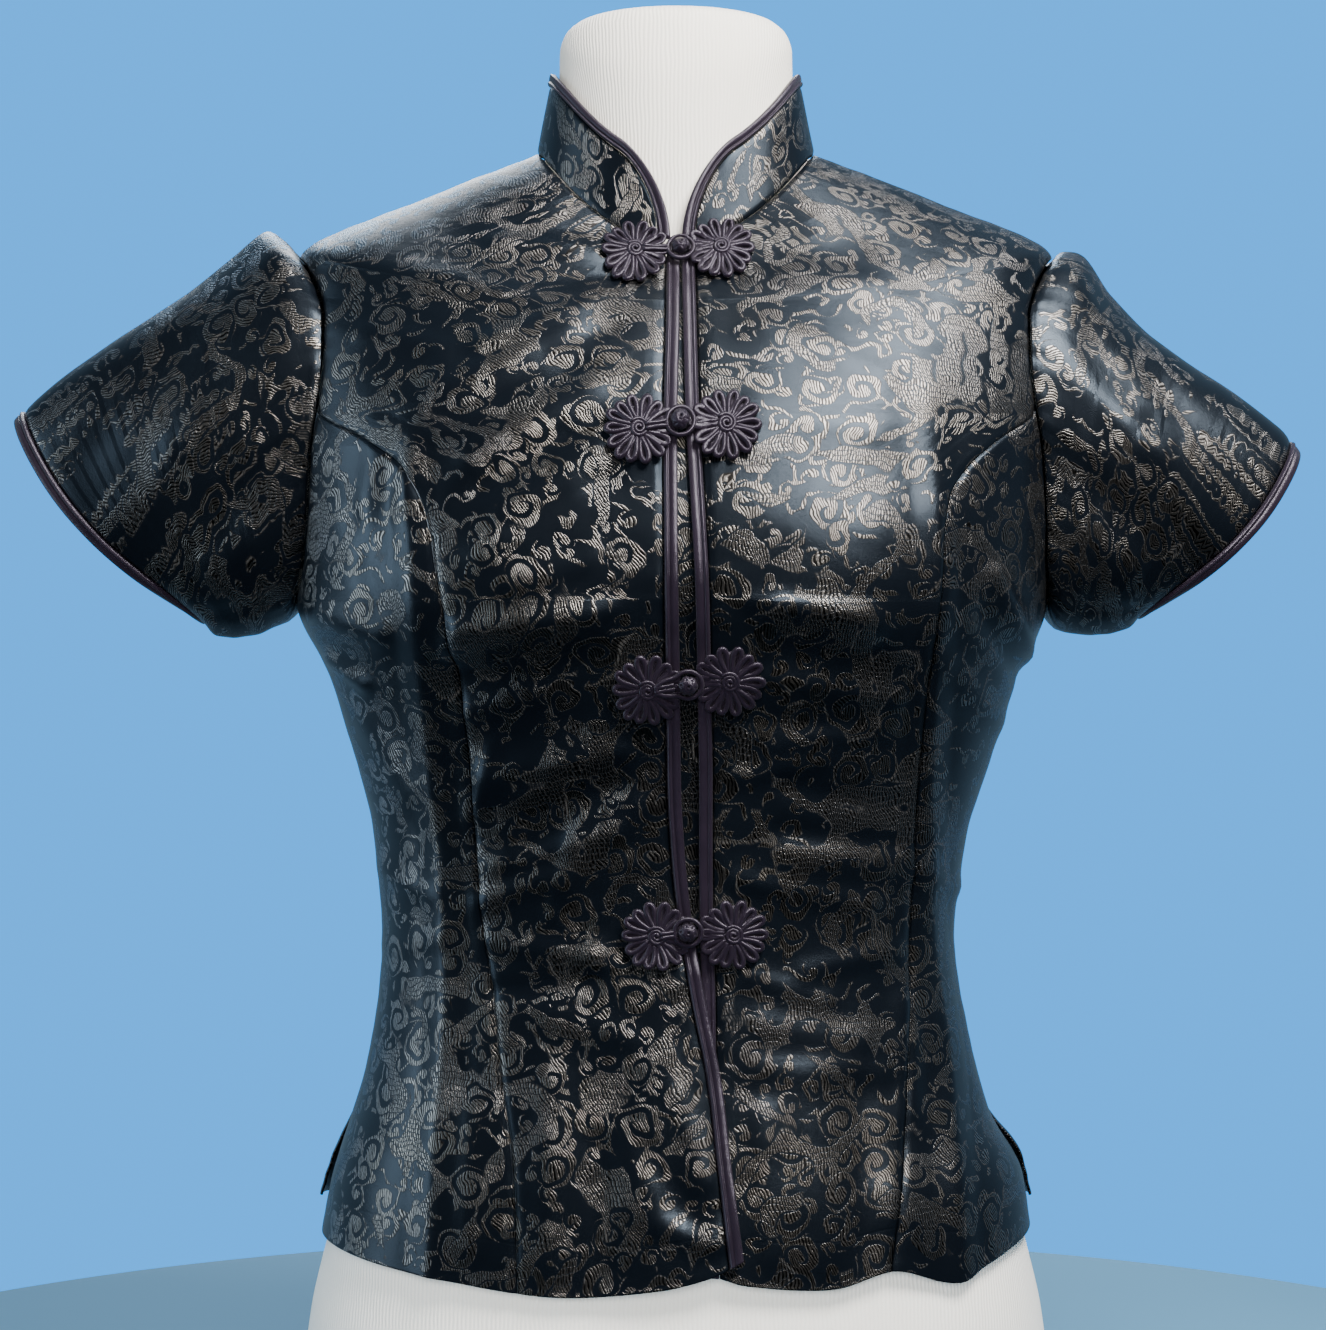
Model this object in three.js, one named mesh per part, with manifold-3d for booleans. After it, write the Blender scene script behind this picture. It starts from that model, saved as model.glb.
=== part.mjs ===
// Tang-style blouse on a limbless dress form.
//
// Millimetres, +Z up, front towards -Y, origin at the middle of the form's flat base.
// "Right" and "left" are the wearer's: right is -X, left is +X.
// The blouse is one surface, body(phi, level): phi runs round it (0 centre front, 90 degrees the left
// side, 180 the back) and level is the height of a ring at its two sides. Each piece of cloth is a
// stretch of that surface with a wall, and what is sewn on lies on the same surface, moved out.

import * as THREE from "three";
import { mergeVertices } from "three/addons/utils/BufferGeometryUtils.js";
import Module from "manifold-3d";

// ---------------------------------------------------------------- driving sizes

const wall = 1.2; // brocade and its backing
const seamGap = 0.4; // between two pieces at a seam
const bindingWidth = 6.4;
const bindingOut = 1; // how far a binding stands proud of the cloth
const hemLevel = 120;
const armpitLevel = 430;
const shoulderLevel = 604;
const neckLevel = 657;
const shoulderSeamForward = 4; // degrees that the shoulder seam lies forward of the side, at the neck
const collar = { height: 44, corner: 32, steps: 20, cornerSteps: 6 };
const lap = { start: 268, full: 256, fade: 45, lift: 2.8 }; // the right front lies over the left one
const underlap = { under: 24, reach: 14, top: 648, out: -wall - 0.8, thickness: 1 };
const hemBlend = 60; // height over which the hem's own line fades out
const backVent = { rise: 15, flare: 2.5, sharpness: 10 };
const crease = { height: 2.6, width: 11, top: 560 }; // pressed crease down each front
const flower = { radius: 16.5, petals: 14, base: 0.7, tilt: 1.3 };
const knot = { radius: 4.6, low: 2.6, high: 9 };
const loop = { radius: 6.3, cord: 1.1, out: 4.1, bar: 3 };
const stem = { width: 3.2, low: 1.7, high: 2.7 };
const frogGap = 0.45; // between a knot and the loop and flower round it
const loopRoomDepth = 8;

/** Turns short rows of numbers into rows with named columns. */
function table(columns, rows) {
  const names = columns.split(" ");
  return rows.map((row) => Object.fromEntries(names.map((name, i) => [name, row[i]])));
}

// Rings of the blouse. front and back say how much the ring rises at the centre front and back.
const blouseRings = table("level half shift fore aft mid front back square", [
  [120, 176, 0, 121, 117, 0, -10, -4, 2.3],
  [150, 170.5, 0.5, 117, 114, 0, -8, -3, 2.3],
  [180, 158, -2.5, 111, 107, 0, -6, -2, 2.3],
  [212, 149.5, -2.5, 104, 99, 0, -4, -1, 2.25],
  [265, 142.5, -4, 98, 88, 0, 0, 0, 2.2],
  [312, 147, -3, 101, 90, 0, 0, 0, 2.2],
  [355, 158.5, -1.5, 108, 96, 0, 0, 0, 2.2],
  [395, 171.5, -1, 118, 102, 0, 0, 0, 2.25],
  [430, 186, -2, 127, 107, 0, 0, 0, 2.3],
  [470, 188, 0, 129, 109, 1, -1, 2, 2.3],
  [515, 190, 0, 121, 108, 4, -6, 2, 2.3],
  [560, 191, 0, 104, 100, 8, -15, 0, 2.25],
  [604, 189, 0, 84, 82, 12, -30, -2, 2.1],
  [634, 128, 0, 68, 72, 13, -43, 6, 2.05],
  [657, 70, 0, 57, 58, 13, -52, 7, 2],
]);

const collarTop = { level: 697, half: 62, shift: 0, fore: 51, aft: 53, mid: 11, front: -49, back: 9, square: 2 };

// Rings of the dress form, inside the blouse from the hem to the collar.
const formRings = table("level half shift fore aft mid front back square", [
  [0, 182, 0, 122, 119, 0, 0, 0, 2.3],
  [5, 185, 0, 125, 122, 0, 0, 0, 2.3],
  [45, 185, 0, 125, 122, 0, 0, 0, 2.3],
  [80, 181.5, 0, 121, 118, 0, -3, -1, 2.3],
  [120, 172.6, 0, 113.5, 111, 0, -8, -3, 2.3],
  [150, 166, 0.5, 109.5, 108, 0, -7, -3, 2.3],
  [180, 153.5, -2.5, 103.5, 101, 0, -5, -2, 2.3],
  [212, 145, -2.5, 96.5, 93, 0, -3, -1, 2.25],
  [265, 138, -4, 90.5, 82, 0, 0, 0, 2.2],
  [312, 142.5, -3, 93.5, 84, 0, 0, 0, 2.2],
  [355, 154, -1.5, 100.5, 90, 0, 0, 0, 2.2],
  [395, 166.5, -1, 110, 96, 0, 0, 0, 2.25],
  [430, 178, -2, 119, 101, 0, 0, 0, 2.3],
  [470, 179, 0, 121, 103, 1, -1, 2, 2.3],
  [515, 179, 0, 113.5, 102, 4, -6, 2, 2.3],
  [560, 176, 0, 96.5, 93, 8, -15, 0, 2.25],
  [588, 168, 0, 82, 82, 11, -25, -2, 2.15],
  [606, 150, 0, 74, 75, 12, -31, 2, 2.1],
  [628, 116, 0, 62, 66, 13, -41, 5, 2.05],
  [645, 78, 0, 54, 57, 13, -49, 6, 2],
  [656, 64.5, 0, 49, 53, 12, -50, 6, 2],
  [672, 60.5, 0, 47, 49, 11, -50, 7, 2],
  [697, 58.6, 0, 46.5, 48, 11, -45, 6, 2],
  [711, 58.5, 0, 47.5, 49, 11, -20, 1, 2],
  [720, 57.5, 0, 47, 49, 11, -4, 0, 2],
  [725.5, 53, 0, 43, 45, 11, 0, 0, 2],
  [727, 46, 0, 37, 39, 11, 0, 0, 2],
]);

// Princess seams and the bound edges of the fronts, as distances from the middle (x) at each level.
const frontLines = table("level seamRight seamLeft edgeRight edgeLeft creaseRight creaseLeft", [
  [120, -74, 100, 30.5, 13, -115, 134],
  [168, -76, 106.5, 25.5, 12.5, -114, 132.5],
  [210, -82.5, 109.5, 20.5, 12, -111, 130.5],
  [245, -87, 112, 13, 11.6, -110, 126],
  [281, -92.5, 112.5, 7, 10.6, -111, 122],
  [311, -95, 113.5, 3.8, 10.3, -112.5, 121.5],
  [345, -97, 114.5, 1.9, 10.2, -116, 119.5],
  [387, -100.4, 116.5, 1.4, 9.4, -118.5, 119.5],
  [438, -109.3, 121, 0.5, 8.1, -121, 120],
  [461, -113.3, 123, 0.3, 7, -122.5, 120],
  [480, -119, 127, 0.2, 6, -124, 120],
  [495, -128, 137, 0.1, 5.2, -125, 119],
  [509, -147, 153, 0.1, 4.4, -126, 118.5],
  [525, -174, 174, 0.2, 3.8, -126, 118],
  [590, -174, 174, 1.3, 2.9, -124, 121],
  [657, -174, 174, 1.6, 2.3, -123, 124],
]);

// The armhole: how far from the middle of the ring its front and back edges run.
const armhole = table("level front back", [
  [430, 186, 186],
  [438, 183.5, 182],
  [447, 181.5, 178],
  [460, 180, 175],
  [480, 179, 172],
  [505, 177, 170],
  [525, 174, 169],
  [550, 171.5, 168],
  [574, 172, 169],
  [590, 177, 173],
  [600, 184.5, 182],
  [604, 189, 189],
]);
const princessEnd = 524; // level at which the princess seam runs into the armhole
const princessTip = 0.02; // radians of the side panel left there

// How far the hem rises over the plain ring, along each front.
const hemRight = table("x rise", [
  [-176, 1],
  [-115, 0],
  [-58, -2.5],
  [-10, 2],
  [15, 8],
  [31, 16],
]);
const hemLeft = table("x rise", [
  [10, 8],
  [16, 8],
  [31, 4],
  [72, 0],
  [100, 5],
  [134, -6],
  [146, -2],
  [176, 5],
]);

// The largest folds, as ridges (height above 0) and troughs on the front (face 1) and back (face -1).
const folds = table("face fromX fromZ toX toZ height width", [
  [1, -40, 420, -101, 411, 3.6, 9],
  [1, -46, 404, -96, 396, -2.6, 9],
  [1, 46, 426, 88, 420, 3.2, 9],
  [1, 52, 410, 88, 404, -2.4, 9],
  [1, -50, 557, -106, 530, 2.2, 9],
  [1, -42, 527, -95, 497, 2, 9],
  [1, -49, 478, -87, 452, 1.8, 10],
  [1, -34, 363, -85, 347, 2.6, 9],
  [1, -34, 346, -66, 330, -2, 8],
  [1, -20, 334, -51, 300, 2.6, 9],
  [1, 55, 310, 108, 306, 1.8, 9],
  [1, -8, 210, -16, 150, 2, 11],
  [1, 60, 200, 66, 130, 2, 13],
  [-1, -70, 282, 62, 274, 2.6, 10],
  [-1, -52, 302, 60, 300, -2, 9],
  [-1, -64, 326, 40, 334, 2.2, 10],
  [-1, -80, 560, -30, 540, 1.8, 12],
  [-1, 78, 556, 34, 538, 1.8, 12],
]);
const bust = table("x z height width", [
  [-84, 455, 5, 46],
  [86, 455, 5, 46],
]);

// Each sleeve: the cuff's upper and lower ends (x, z), its half depth, and how far its edge bows out.
const sleeves = {
  right: { way: -1, topX: -331, topZ: 522, footX: -240, footZ: 425, half: 29, mid: 4, bow: 11 },
  left: { way: 1, topX: 312, topZ: 506, footX: 236, footZ: 427, half: 31, mid: 4, bow: 9 },
};
// How far each sleeve's upper line rises and its under line drops from straight, from armhole to cuff.
const sleeveLines = table("t topRight underRight topLeft underLeft", [
  [0, 0, 0, 0, 0],
  [0.05, 12, -4, 8, -7],
  [0.13, 23, -8, 13, -12],
  [0.24, 19, -9.5, 4, -13],
  [0.4, 15, -12, 0.5, -13],
  [0.58, 13, -12.5, 2, -12],
  [0.77, 10, -11, 5, -9],
  [0.92, 5, -4, 5, -3],
  [1, 0, 0, 0, 0],
]);
const sleeveRows = [0, 0.05, 0.13, 0.24, 0.38, 0.54, 0.7, 0.85];
const gathers = { depth: 1.6, count: 9, spread: 55 }; // soft tucks at the sleeve head
const sleeveFullness = 6; // how far the sleeve's middle swells to the front and back

// Frogs, each flower and knot at its own place on the fronts (x, z).
const frogs = table("number loopX loopZ knotX knotZ flowerX flowerZ", [
  [1, -20, 599, 2, 600, 21.5, 600.5],
  [2, -17.5, 508, 1.5, 511, 22.5, 510],
  [3, -13.5, 389, 5, 392, 24, 393],
  [4, -9.5, 273.5, 5, 275.5, 26, 274],
]);

const colours = {
  brocade: { color: 0x151a24, roughness: 0.42, metalness: 0.05 },
  satin: { color: 0x241b2b, roughness: 0.35, metalness: 0 },
  jersey: { color: 0xe9e0cf, roughness: 0.85, metalness: 0 },
};

// ---------------------------------------------------------------- curves and the surface

const radians = THREE.MathUtils.degToRad;
const clamp = THREE.MathUtils.clamp;
const mix = THREE.MathUtils.lerp;
const ease = (from, to, at) => THREE.MathUtils.smoothstep(at, Math.min(from, to), Math.max(from, to));

/** A smooth curve with no overshoot through one column of a table. */
function along(rows, key, column, at) {
  const last = rows.length - 1;
  if (at <= rows[0][key]) return rows[0][column];
  if (at >= rows[last][key]) return rows[last][column];
  let i = 0;
  while (at > rows[i + 1][key]) i += 1;
  const span = (k) => rows[k + 1][key] - rows[k][key];
  const slope = (k) => (rows[k + 1][column] - rows[k][column]) / span(k);
  const tangent = (k) => {
    if (k === 0) return slope(0);
    if (k === last) return slope(last - 1);
    const before = slope(k - 1);
    const after = slope(k);
    return before * after <= 0 ? 0 : (2 * before * after) / (before + after);
  };
  const t = (at - rows[i][key]) / span(i);
  const rise = t * t * (3 - 2 * t);
  const leaving = t * (1 - t) * (1 - t) * tangent(i);
  const arriving = t * t * (t - 1) * tangent(i + 1);
  return mix(rows[i][column], rows[i + 1][column], rise) + span(i) * (leaving + arriving);
}

const ringColumns = ["half", "shift", "fore", "aft", "mid", "front", "back", "square"];

function ringAt(rows, level) {
  const ring = { level };
  for (const column of ringColumns) ring[column] = along(rows, "level", column, level);
  return ring;
}

function ringPoint(ring, phi) {
  const across = Math.sin(phi);
  const facing = Math.cos(phi);
  const power = 2 / ring.square;
  const depth = facing > 0 ? ring.fore : ring.aft;
  const rise = facing > 0 ? ring.front : ring.back;
  return new THREE.Vector3(
    ring.shift + ring.half * Math.sign(across) * Math.abs(across) ** power,
    ring.mid - depth * Math.sign(facing) * Math.abs(facing) ** power,
    ring.level + rise * facing * facing,
  );
}

const body = (phi, level) => ringPoint(ringAt(blouseRings, level), phi);

/** phi on the front half of a ring at a distance x from the middle. */
function phiAt(x, level) {
  const ring = ringAt(blouseRings, level);
  const share = clamp((x - ring.shift) / ring.half, -1, 1);
  return Math.sign(share) * Math.asin(Math.abs(share) ** (ring.square / 2));
}

/** Outward normal of a surface of two parameters. */
function normalOf(surface, a, b, stepA, stepB, lastB = Infinity) {
  const acrossA = surface(a + stepA, b).sub(surface(a - stepA, b));
  const acrossB = surface(a, Math.min(b + stepB, lastB)).sub(surface(a, b - stepB));
  return acrossA.cross(acrossB).normalize();
}

const bodyNormal = (phi, level) => normalOf(body, phi, level, 0.03, 4, neckLevel);

/** How far folds, the fullness of the bust and the pressed creases move the cloth out. */
function relief(point, level) {
  const face = point.y < 0 ? 1 : -1;
  let out = 0;
  for (const fold of folds) {
    if (fold.face !== face) continue;
    const runX = fold.toX - fold.fromX;
    const runZ = fold.toZ - fold.fromZ;
    const done = ((point.x - fold.fromX) * runX + (point.z - fold.fromZ) * runZ) / (runX ** 2 + runZ ** 2);
    const t = clamp(done, 0, 1);
    const away = Math.hypot(point.x - fold.fromX - t * runX, point.z - fold.fromZ - t * runZ);
    out += fold.height * Math.exp(-((away / fold.width) ** 2));
  }
  if (face < 0) return out;
  for (const side of bust) {
    const away = Math.hypot(point.x - side.x, point.z - side.z);
    out += side.height * Math.exp(-((away / side.width) ** 2));
  }
  const line = point.x < 0 ? "creaseRight" : "creaseLeft";
  const away = Math.abs(point.x - along(frontLines, "level", line, level));
  const fade = 1 - ease(crease.top - 80, crease.top, level);
  return out + crease.height * fade * Math.max(0, 1 - away / crease.width);
}

/** How the hem of one piece departs from the plain ring: up, and out at the vents. */
function hemShift(piece, point, phi, level) {
  const fade = clamp(1 - (level - hemLevel) / hemBlend, 0, 1);
  if (piece === "back") {
    const atSide = Math.abs(Math.sin(phi)) ** backVent.sharpness;
    return { up: backVent.rise * atSide * fade, out: backVent.flare * atSide * fade };
  }
  const rows = piece === "right" ? hemRight : hemLeft;
  return { up: along(rows, "x", "rise", point.x) * fade, out: 0 };
}

/** The right front is lifted over the left one, from under the last frog to the hem. */
function lapLift(piece, x, level) {
  if (piece !== "right") return 0;
  return lap.lift * (1 - ease(lap.full, lap.start, level)) * ease(-lap.fade, -5, x);
}

/** A point on a piece of the blouse, out millimetres above the cloth's face. */
function cloth(piece, phi, level, out = 0) {
  const point = body(phi, level);
  const shift = hemShift(piece, point, phi, level);
  const lift = relief(point, level) + lapLift(piece, point.x, level) + shift.out + out;
  point.addScaledVector(bodyNormal(phi, level), lift);
  point.z += shift.up;
  return point;
}

// ---------------------------------------------------------------- closed walls

/** A closed solid from rows of points on two faces: outer[i][j] over inner[i][j]. */
function solidBetween(outer, inner, round = false) {
  const rows = outer.length;
  const columns = outer[0].length;
  const positions = [];
  for (const face of [outer, inner]) {
    for (const row of face) for (const point of row) positions.push(point.x, point.y, point.z);
  }
  const at = (face, i, j) => (face * rows + i) * columns + (j % columns);
  const index = [];
  const quad = (a, b, c, d) => index.push(a, b, c, a, c, d);
  const spans = round ? columns : columns - 1;
  for (let i = 0; i < rows - 1; i += 1) {
    for (let j = 0; j < spans; j += 1) {
      quad(at(0, i, j), at(0, i, j + 1), at(0, i + 1, j + 1), at(0, i + 1, j));
      quad(at(1, i, j), at(1, i + 1, j), at(1, i + 1, j + 1), at(1, i, j + 1));
    }
  }
  for (let j = 0; j < spans; j += 1) {
    quad(at(1, 0, j), at(1, 0, j + 1), at(0, 0, j + 1), at(0, 0, j));
    quad(at(0, rows - 1, j), at(0, rows - 1, j + 1), at(1, rows - 1, j + 1), at(1, rows - 1, j));
  }
  if (!round) {
    for (let i = 0; i < rows - 1; i += 1) {
      quad(at(0, i, 0), at(0, i + 1, 0), at(1, i + 1, 0), at(1, i, 0));
      quad(at(1, i, columns - 1), at(1, i + 1, columns - 1), at(0, i + 1, columns - 1), at(0, i, columns - 1));
    }
  }
  return geometryFrom(positions, index);
}

/** A closed bar from stations, each the same ring of points, with its two ends filled. */
function barThrough(stations, closed = false) {
  const count = stations.length;
  const sides = stations[0].length;
  const positions = stations.flat().flatMap((point) => [point.x, point.y, point.z]);
  const at = (i, j) => (i % count) * sides + (j % sides);
  const index = [];
  for (let i = 0; i < (closed ? count : count - 1); i += 1) {
    for (let j = 0; j < sides; j += 1) {
      index.push(at(i, j), at(i, j + 1), at(i + 1, j + 1), at(i, j), at(i + 1, j + 1), at(i + 1, j));
    }
  }
  if (!closed) {
    for (let j = 1; j < sides - 1; j += 1) {
      index.push(at(0, 0), at(0, j + 1), at(0, j));
      index.push(at(count - 1, 0), at(count - 1, j), at(count - 1, j + 1));
    }
  }
  return geometryFrom(positions, index);
}

function geometryFrom(positions, index) {
  const geometry = new THREE.BufferGeometry();
  geometry.setAttribute("position", new THREE.Float32BufferAttribute(positions, 3));
  geometry.setIndex(index);
  return facedOut(geometry);
}

/** Turns every triangle over if the solid is inside out. */
function facedOut(geometry) {
  const position = geometry.getAttribute("position");
  const index = geometry.getIndex().array;
  const corner = [new THREE.Vector3(), new THREE.Vector3(), new THREE.Vector3()];
  let volume = 0;
  for (let i = 0; i < index.length; i += 3) {
    corner.forEach((point, k) => point.fromBufferAttribute(position, index[i + k]));
    volume += corner[0].dot(corner[1].clone().cross(corner[2]));
  }
  if (volume < 0) {
    for (let i = 0; i < index.length; i += 3) [index[i + 1], index[i + 2]] = [index[i + 2], index[i + 1]];
  }
  return geometry;
}

// ---------------------------------------------------------------- panels of the body

const spread = (from, to, count) => Array.from({ length: count + 1 }, (_, i) => mix(from, to, i / count));

const armholeLevels = [430, 432.5, 438, 447, 460, 476, 492, 508, 524, 541, 558, 574, 587, 596, 601.5, 604];
const panelLevels = [
  ...spread(hemLevel, 245, 6),
  ...spread(lap.full, lap.start, 1),
  ...spread(lap.start, armpitLevel, 8).slice(1, -1),
  ...armholeLevels,
  ...spread(shoulderLevel, neckLevel, 7).slice(1),
];

/** phi of the armhole's edge; face is "front" or "back", way is -1 on the right and 1 on the left. */
function armholePhi(face, way, level) {
  const ring = ringAt(blouseRings, level);
  const share = clamp(along(armhole, "level", face, level) / ring.half, 0, 1);
  const angle = Math.asin(share ** (ring.square / 2));
  return way * (face === "front" ? angle : Math.PI - angle);
}

/** phi of the side seam, the armhole and the shoulder seam, from hem to neck. */
function sideLine(face, way, level) {
  if (level <= armpitLevel) return (way * Math.PI) / 2;
  if (level <= shoulderLevel) return armholePhi(face, way, level);
  const done = (level - shoulderLevel) / (neckLevel - shoulderLevel);
  return way * (Math.PI / 2 - radians(shoulderSeamForward) * done);
}

/** Moves an edge in from its seam line by half the gap. */
function inset(phi, level, towards) {
  const step = 0.01;
  const speed = body(phi + step, level).distanceTo(body(phi - step, level)) / (2 * step);
  return phi + (towards * seamGap) / 2 / speed;
}

/** A panel: from(level) and to(level) are its edges in phi, and shares say where its columns lie. */
function panel(piece, levels, from, to, sharesAt) {
  const rows = levels.map((level) => {
    const start = inset(from(level), level, 1);
    const end = inset(to(level), level, -1);
    return sharesAt(level, start, end).map((share) => [mix(start, end, share), level]);
  });
  const face = (out) => rows.map((row) => row.map(([phi, level]) => cloth(piece, phi, level, out)));
  return solidBetween(face(0), face(-wall));
}

const even = (count) => () => spread(0, 1, count);

/** Columns that keep one line of points on the pressed crease. */
function creased(line, before, after) {
  return (level, start, end) => {
    const mark = phiAt(along(frontLines, "level", line, level), level);
    const share = clamp((mark - start) / (end - start), 0.3, 0.7);
    return [...spread(0, share, before), ...spread(share, 1, after).slice(1)];
  };
}

/** phi of the princess seam, and above its end in the armhole, of the armhole itself. */
function princessPhi(line, way, level) {
  if (level > princessEnd) return sideLine("front", way, level);
  if (level === princessEnd) return armholePhi("front", way, level) - way * princessTip;
  return phiAt(along(frontLines, "level", line, level), level);
}

const edgePhi = (line, away, level) => phiAt(along(frontLines, "level", line, level) + away, level);

const sideFrontLevels = panelLevels.filter((level) => level <= princessEnd);
const toBinding = bindingWidth + seamGap / 2;

const fronts = {
  front_right: panel(
    "right",
    panelLevels,
    (level) => princessPhi("seamRight", -1, level),
    (level) => edgePhi("edgeRight", -toBinding, level),
    even(8),
  ),
  front_left: panel(
    "left",
    panelLevels,
    (level) => edgePhi("edgeLeft", toBinding, level),
    (level) => princessPhi("seamLeft", 1, level),
    even(8),
  ),
  side_front_right: panel(
    "right",
    sideFrontLevels,
    (level) => sideLine("front", -1, level),
    (level) => princessPhi("seamRight", -1, level),
    creased("creaseRight", 3, 2),
  ),
  side_front_left: panel(
    "left",
    sideFrontLevels,
    (level) => princessPhi("seamLeft", 1, level),
    (level) => sideLine("front", 1, level),
    creased("creaseLeft", 2, 3),
  ),
};

const back = panel(
  "back",
  panelLevels,
  (level) => sideLine("back", 1, level),
  (level) => 2 * Math.PI + sideLine("back", -1, level),
  even(13),
);

function underlapStrip() {
  const levels = panelLevels.filter((level) => level > hemLevel && level < underlap.top);
  const face = (out) =>
    levels.map((level) => {
      const from = edgePhi("edgeLeft", -underlap.under, level);
      const to = edgePhi("edgeLeft", underlap.reach, level);
      return spread(from, to, 3).map((phi) => cloth("left", phi, level, out));
    });
  return solidBetween(face(underlap.out), face(underlap.out - underlap.thickness));
}

// ---------------------------------------------------------------- bindings

/** Section of a binding: share across its width, and height over the cloth's face. */
const bindingSection = [
  [0, -wall],
  [0, bindingOut * 0.5],
  [0.16, bindingOut],
  [0.84, bindingOut],
  [1, bindingOut * 0.5],
  [1, -wall],
];

/** A binding along a front's edge: inward is the way from the edge into the front. */
function frontBinding(piece, line, inward) {
  const stations = panelLevels.map((level) =>
    bindingSection.map(([share, out]) => {
      const phi = edgePhi(line, inward * share * bindingWidth, level);
      return cloth(piece, phi, level, out);
    }),
  );
  return barThrough(stations);
}

// ---------------------------------------------------------------- collar

const neckRing = ringAt(blouseRings, neckLevel);
const collarBase = (phi) => ringPoint(neckRing, phi);
const collarEnds = { from: phiAt(2.6, neckLevel), to: 2 * Math.PI + phiAt(-2.8, neckLevel) };

/** The collar's surface: phi round the neck, height up from the neckline. */
function collarSurface(phi, height) {
  return collarBase(phi).lerp(ringPoint(collarTop, phi), height / collar.height);
}

const collarNormal = (phi, height) => normalOf(collarSurface, phi, height, 0.03, 2);

/** Distance round the neckline against phi, for placing by length. */
const neckline = spread(collarEnds.from, collarEnds.to, 240).reduce((rows, phi) => {
  const last = rows.at(-1);
  const run = last ? last.run + collarBase(phi).distanceTo(collarBase(last.phi)) : 0;
  rows.push({ phi, run });
  return rows;
}, []);
const necklineLength = neckline.at(-1).run;

function collarAt(run, height, out) {
  const phi = along(neckline, "run", "phi", clamp(run, 0, necklineLength));
  return collarSurface(phi, height).addScaledVector(collarNormal(phi, height), out);
}

/** Points along the collar's edge, moved in from it: rounded corners and a level top between them. */
function collarEdge(insetBy, firstAngle) {
  const reach = collar.corner - insetBy;
  const rise = collar.height - insetBy;
  const angles = spread(radians(firstAngle), Math.PI / 2, collar.cornerSteps);
  const corner = angles.map((a) => ({ run: collar.corner - reach * Math.cos(a), height: rise * Math.sin(a) }));
  const runs = spread(collar.corner, necklineLength - collar.corner, collar.steps).slice(1, -1);
  const top = runs.map((run) => ({ run, height: rise }));
  const mirrored = corner.map(({ run, height }) => ({ run: necklineLength - run, height })).reverse();
  return [...corner, ...top, ...mirrored];
}

function collarCloth() {
  const edge = collarEdge(bindingWidth + seamGap, 18);
  const face = (out) =>
    [0, 0.5, 1].map((share) => edge.map(({ run, height }) => collarAt(run, mix(seamGap, height, share), out)));
  return solidBetween(face(0), face(-wall));
}

function collarBinding() {
  const outer = collarEdge(0, 2);
  const inner = collarEdge(bindingWidth, 2);
  const stations = outer.map((point, i) =>
    bindingSection.map(([share, out]) => {
      const run = mix(point.run, inner[i].run, share);
      const height = mix(point.height, inner[i].height, share);
      return collarAt(run, Math.max(height, seamGap + 0.3), out);
    }),
  );
  return barThrough(stations);
}

// ---------------------------------------------------------------- sleeves

/** The armhole as points with their angle round it: 0 at the shoulder, 90 degrees at the front. */
function armholeLoop(way) {
  const levels = spread(0, 1, 40).map((t) => mix(shoulderLevel, armpitLevel, (1 - Math.cos(Math.PI * t)) / 2));
  const half = (face, start) => {
    const points = levels.map((level) => cloth(way < 0 ? "right" : "left", armholePhi(face, way, level), level));
    const runs = points.map(() => 0);
    for (let i = 1; i < points.length; i += 1) runs[i] = runs[i - 1] + points[i].distanceTo(points[i - 1]);
    const turn = (i) => start + (face === "front" ? 1 : -1) * Math.PI * (runs[i] / runs.at(-1));
    return points.map((point, i) => ({ turn: turn(i), level: levels[i], x: point.x, y: point.y, z: point.z }));
  };
  return { front: half("front", 0), back: half("back", 2 * Math.PI).reverse() };
}

const loops = { right: armholeLoop(-1), left: armholeLoop(1) };

function armholePoint(side, turn) {
  const rows = turn <= Math.PI ? loops[side].front : loops[side].back;
  return new THREE.Vector3(...["x", "y", "z"].map((column) => along(rows, "turn", column, turn)));
}

function cuffPoint(cuff, turn) {
  const upper = new THREE.Vector3(cuff.topX, cuff.mid, cuff.topZ);
  const foot = new THREE.Vector3(cuff.footX, cuff.mid, cuff.footZ);
  const along = upper.clone().sub(foot).multiplyScalar(0.5);
  const outward = new THREE.Vector3(-along.z, 0, along.x).normalize();
  outward.multiplyScalar(Math.sign(outward.x) === cuff.way ? 1 : -1);
  return upper
    .add(foot)
    .multiplyScalar(0.5)
    .addScaledVector(along, Math.cos(turn))
    .add(new THREE.Vector3(0, -cuff.half * Math.sin(turn), 0))
    .addScaledVector(outward, cuff.bow * Math.sin(turn) ** 2);
}

/** A sleeve's surface: turn round it, t from armhole (0) to cuff edge (1). */
function sleeveSurface(side, turn, t) {
  const cuff = sleeves[side];
  const name = side === "right" ? "Right" : "Left";
  const point = armholePoint(side, turn).lerp(cuffPoint(cuff, turn), t);
  const upper = Math.max(0, Math.cos(turn)) ** 1.5;
  const under = Math.max(0, -Math.cos(turn)) ** 2;
  point.z += upper * along(sleeveLines, "t", `top${name}`, t) + under * along(sleeveLines, "t", `under${name}`, t);
  point.y -= sleeveFullness * Math.sin(turn) * Math.sin(Math.PI * t);
  const nearHead = Math.max(0, 1 - Math.abs(turn > Math.PI ? turn - 2 * Math.PI : turn) / radians(gathers.spread));
  const early = Math.sin(Math.PI * clamp(t / 0.4, 0, 1));
  const tuck = gathers.depth * nearHead * early * Math.cos(turn * gathers.count);
  point.z += tuck;
  return point;
}

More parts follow.
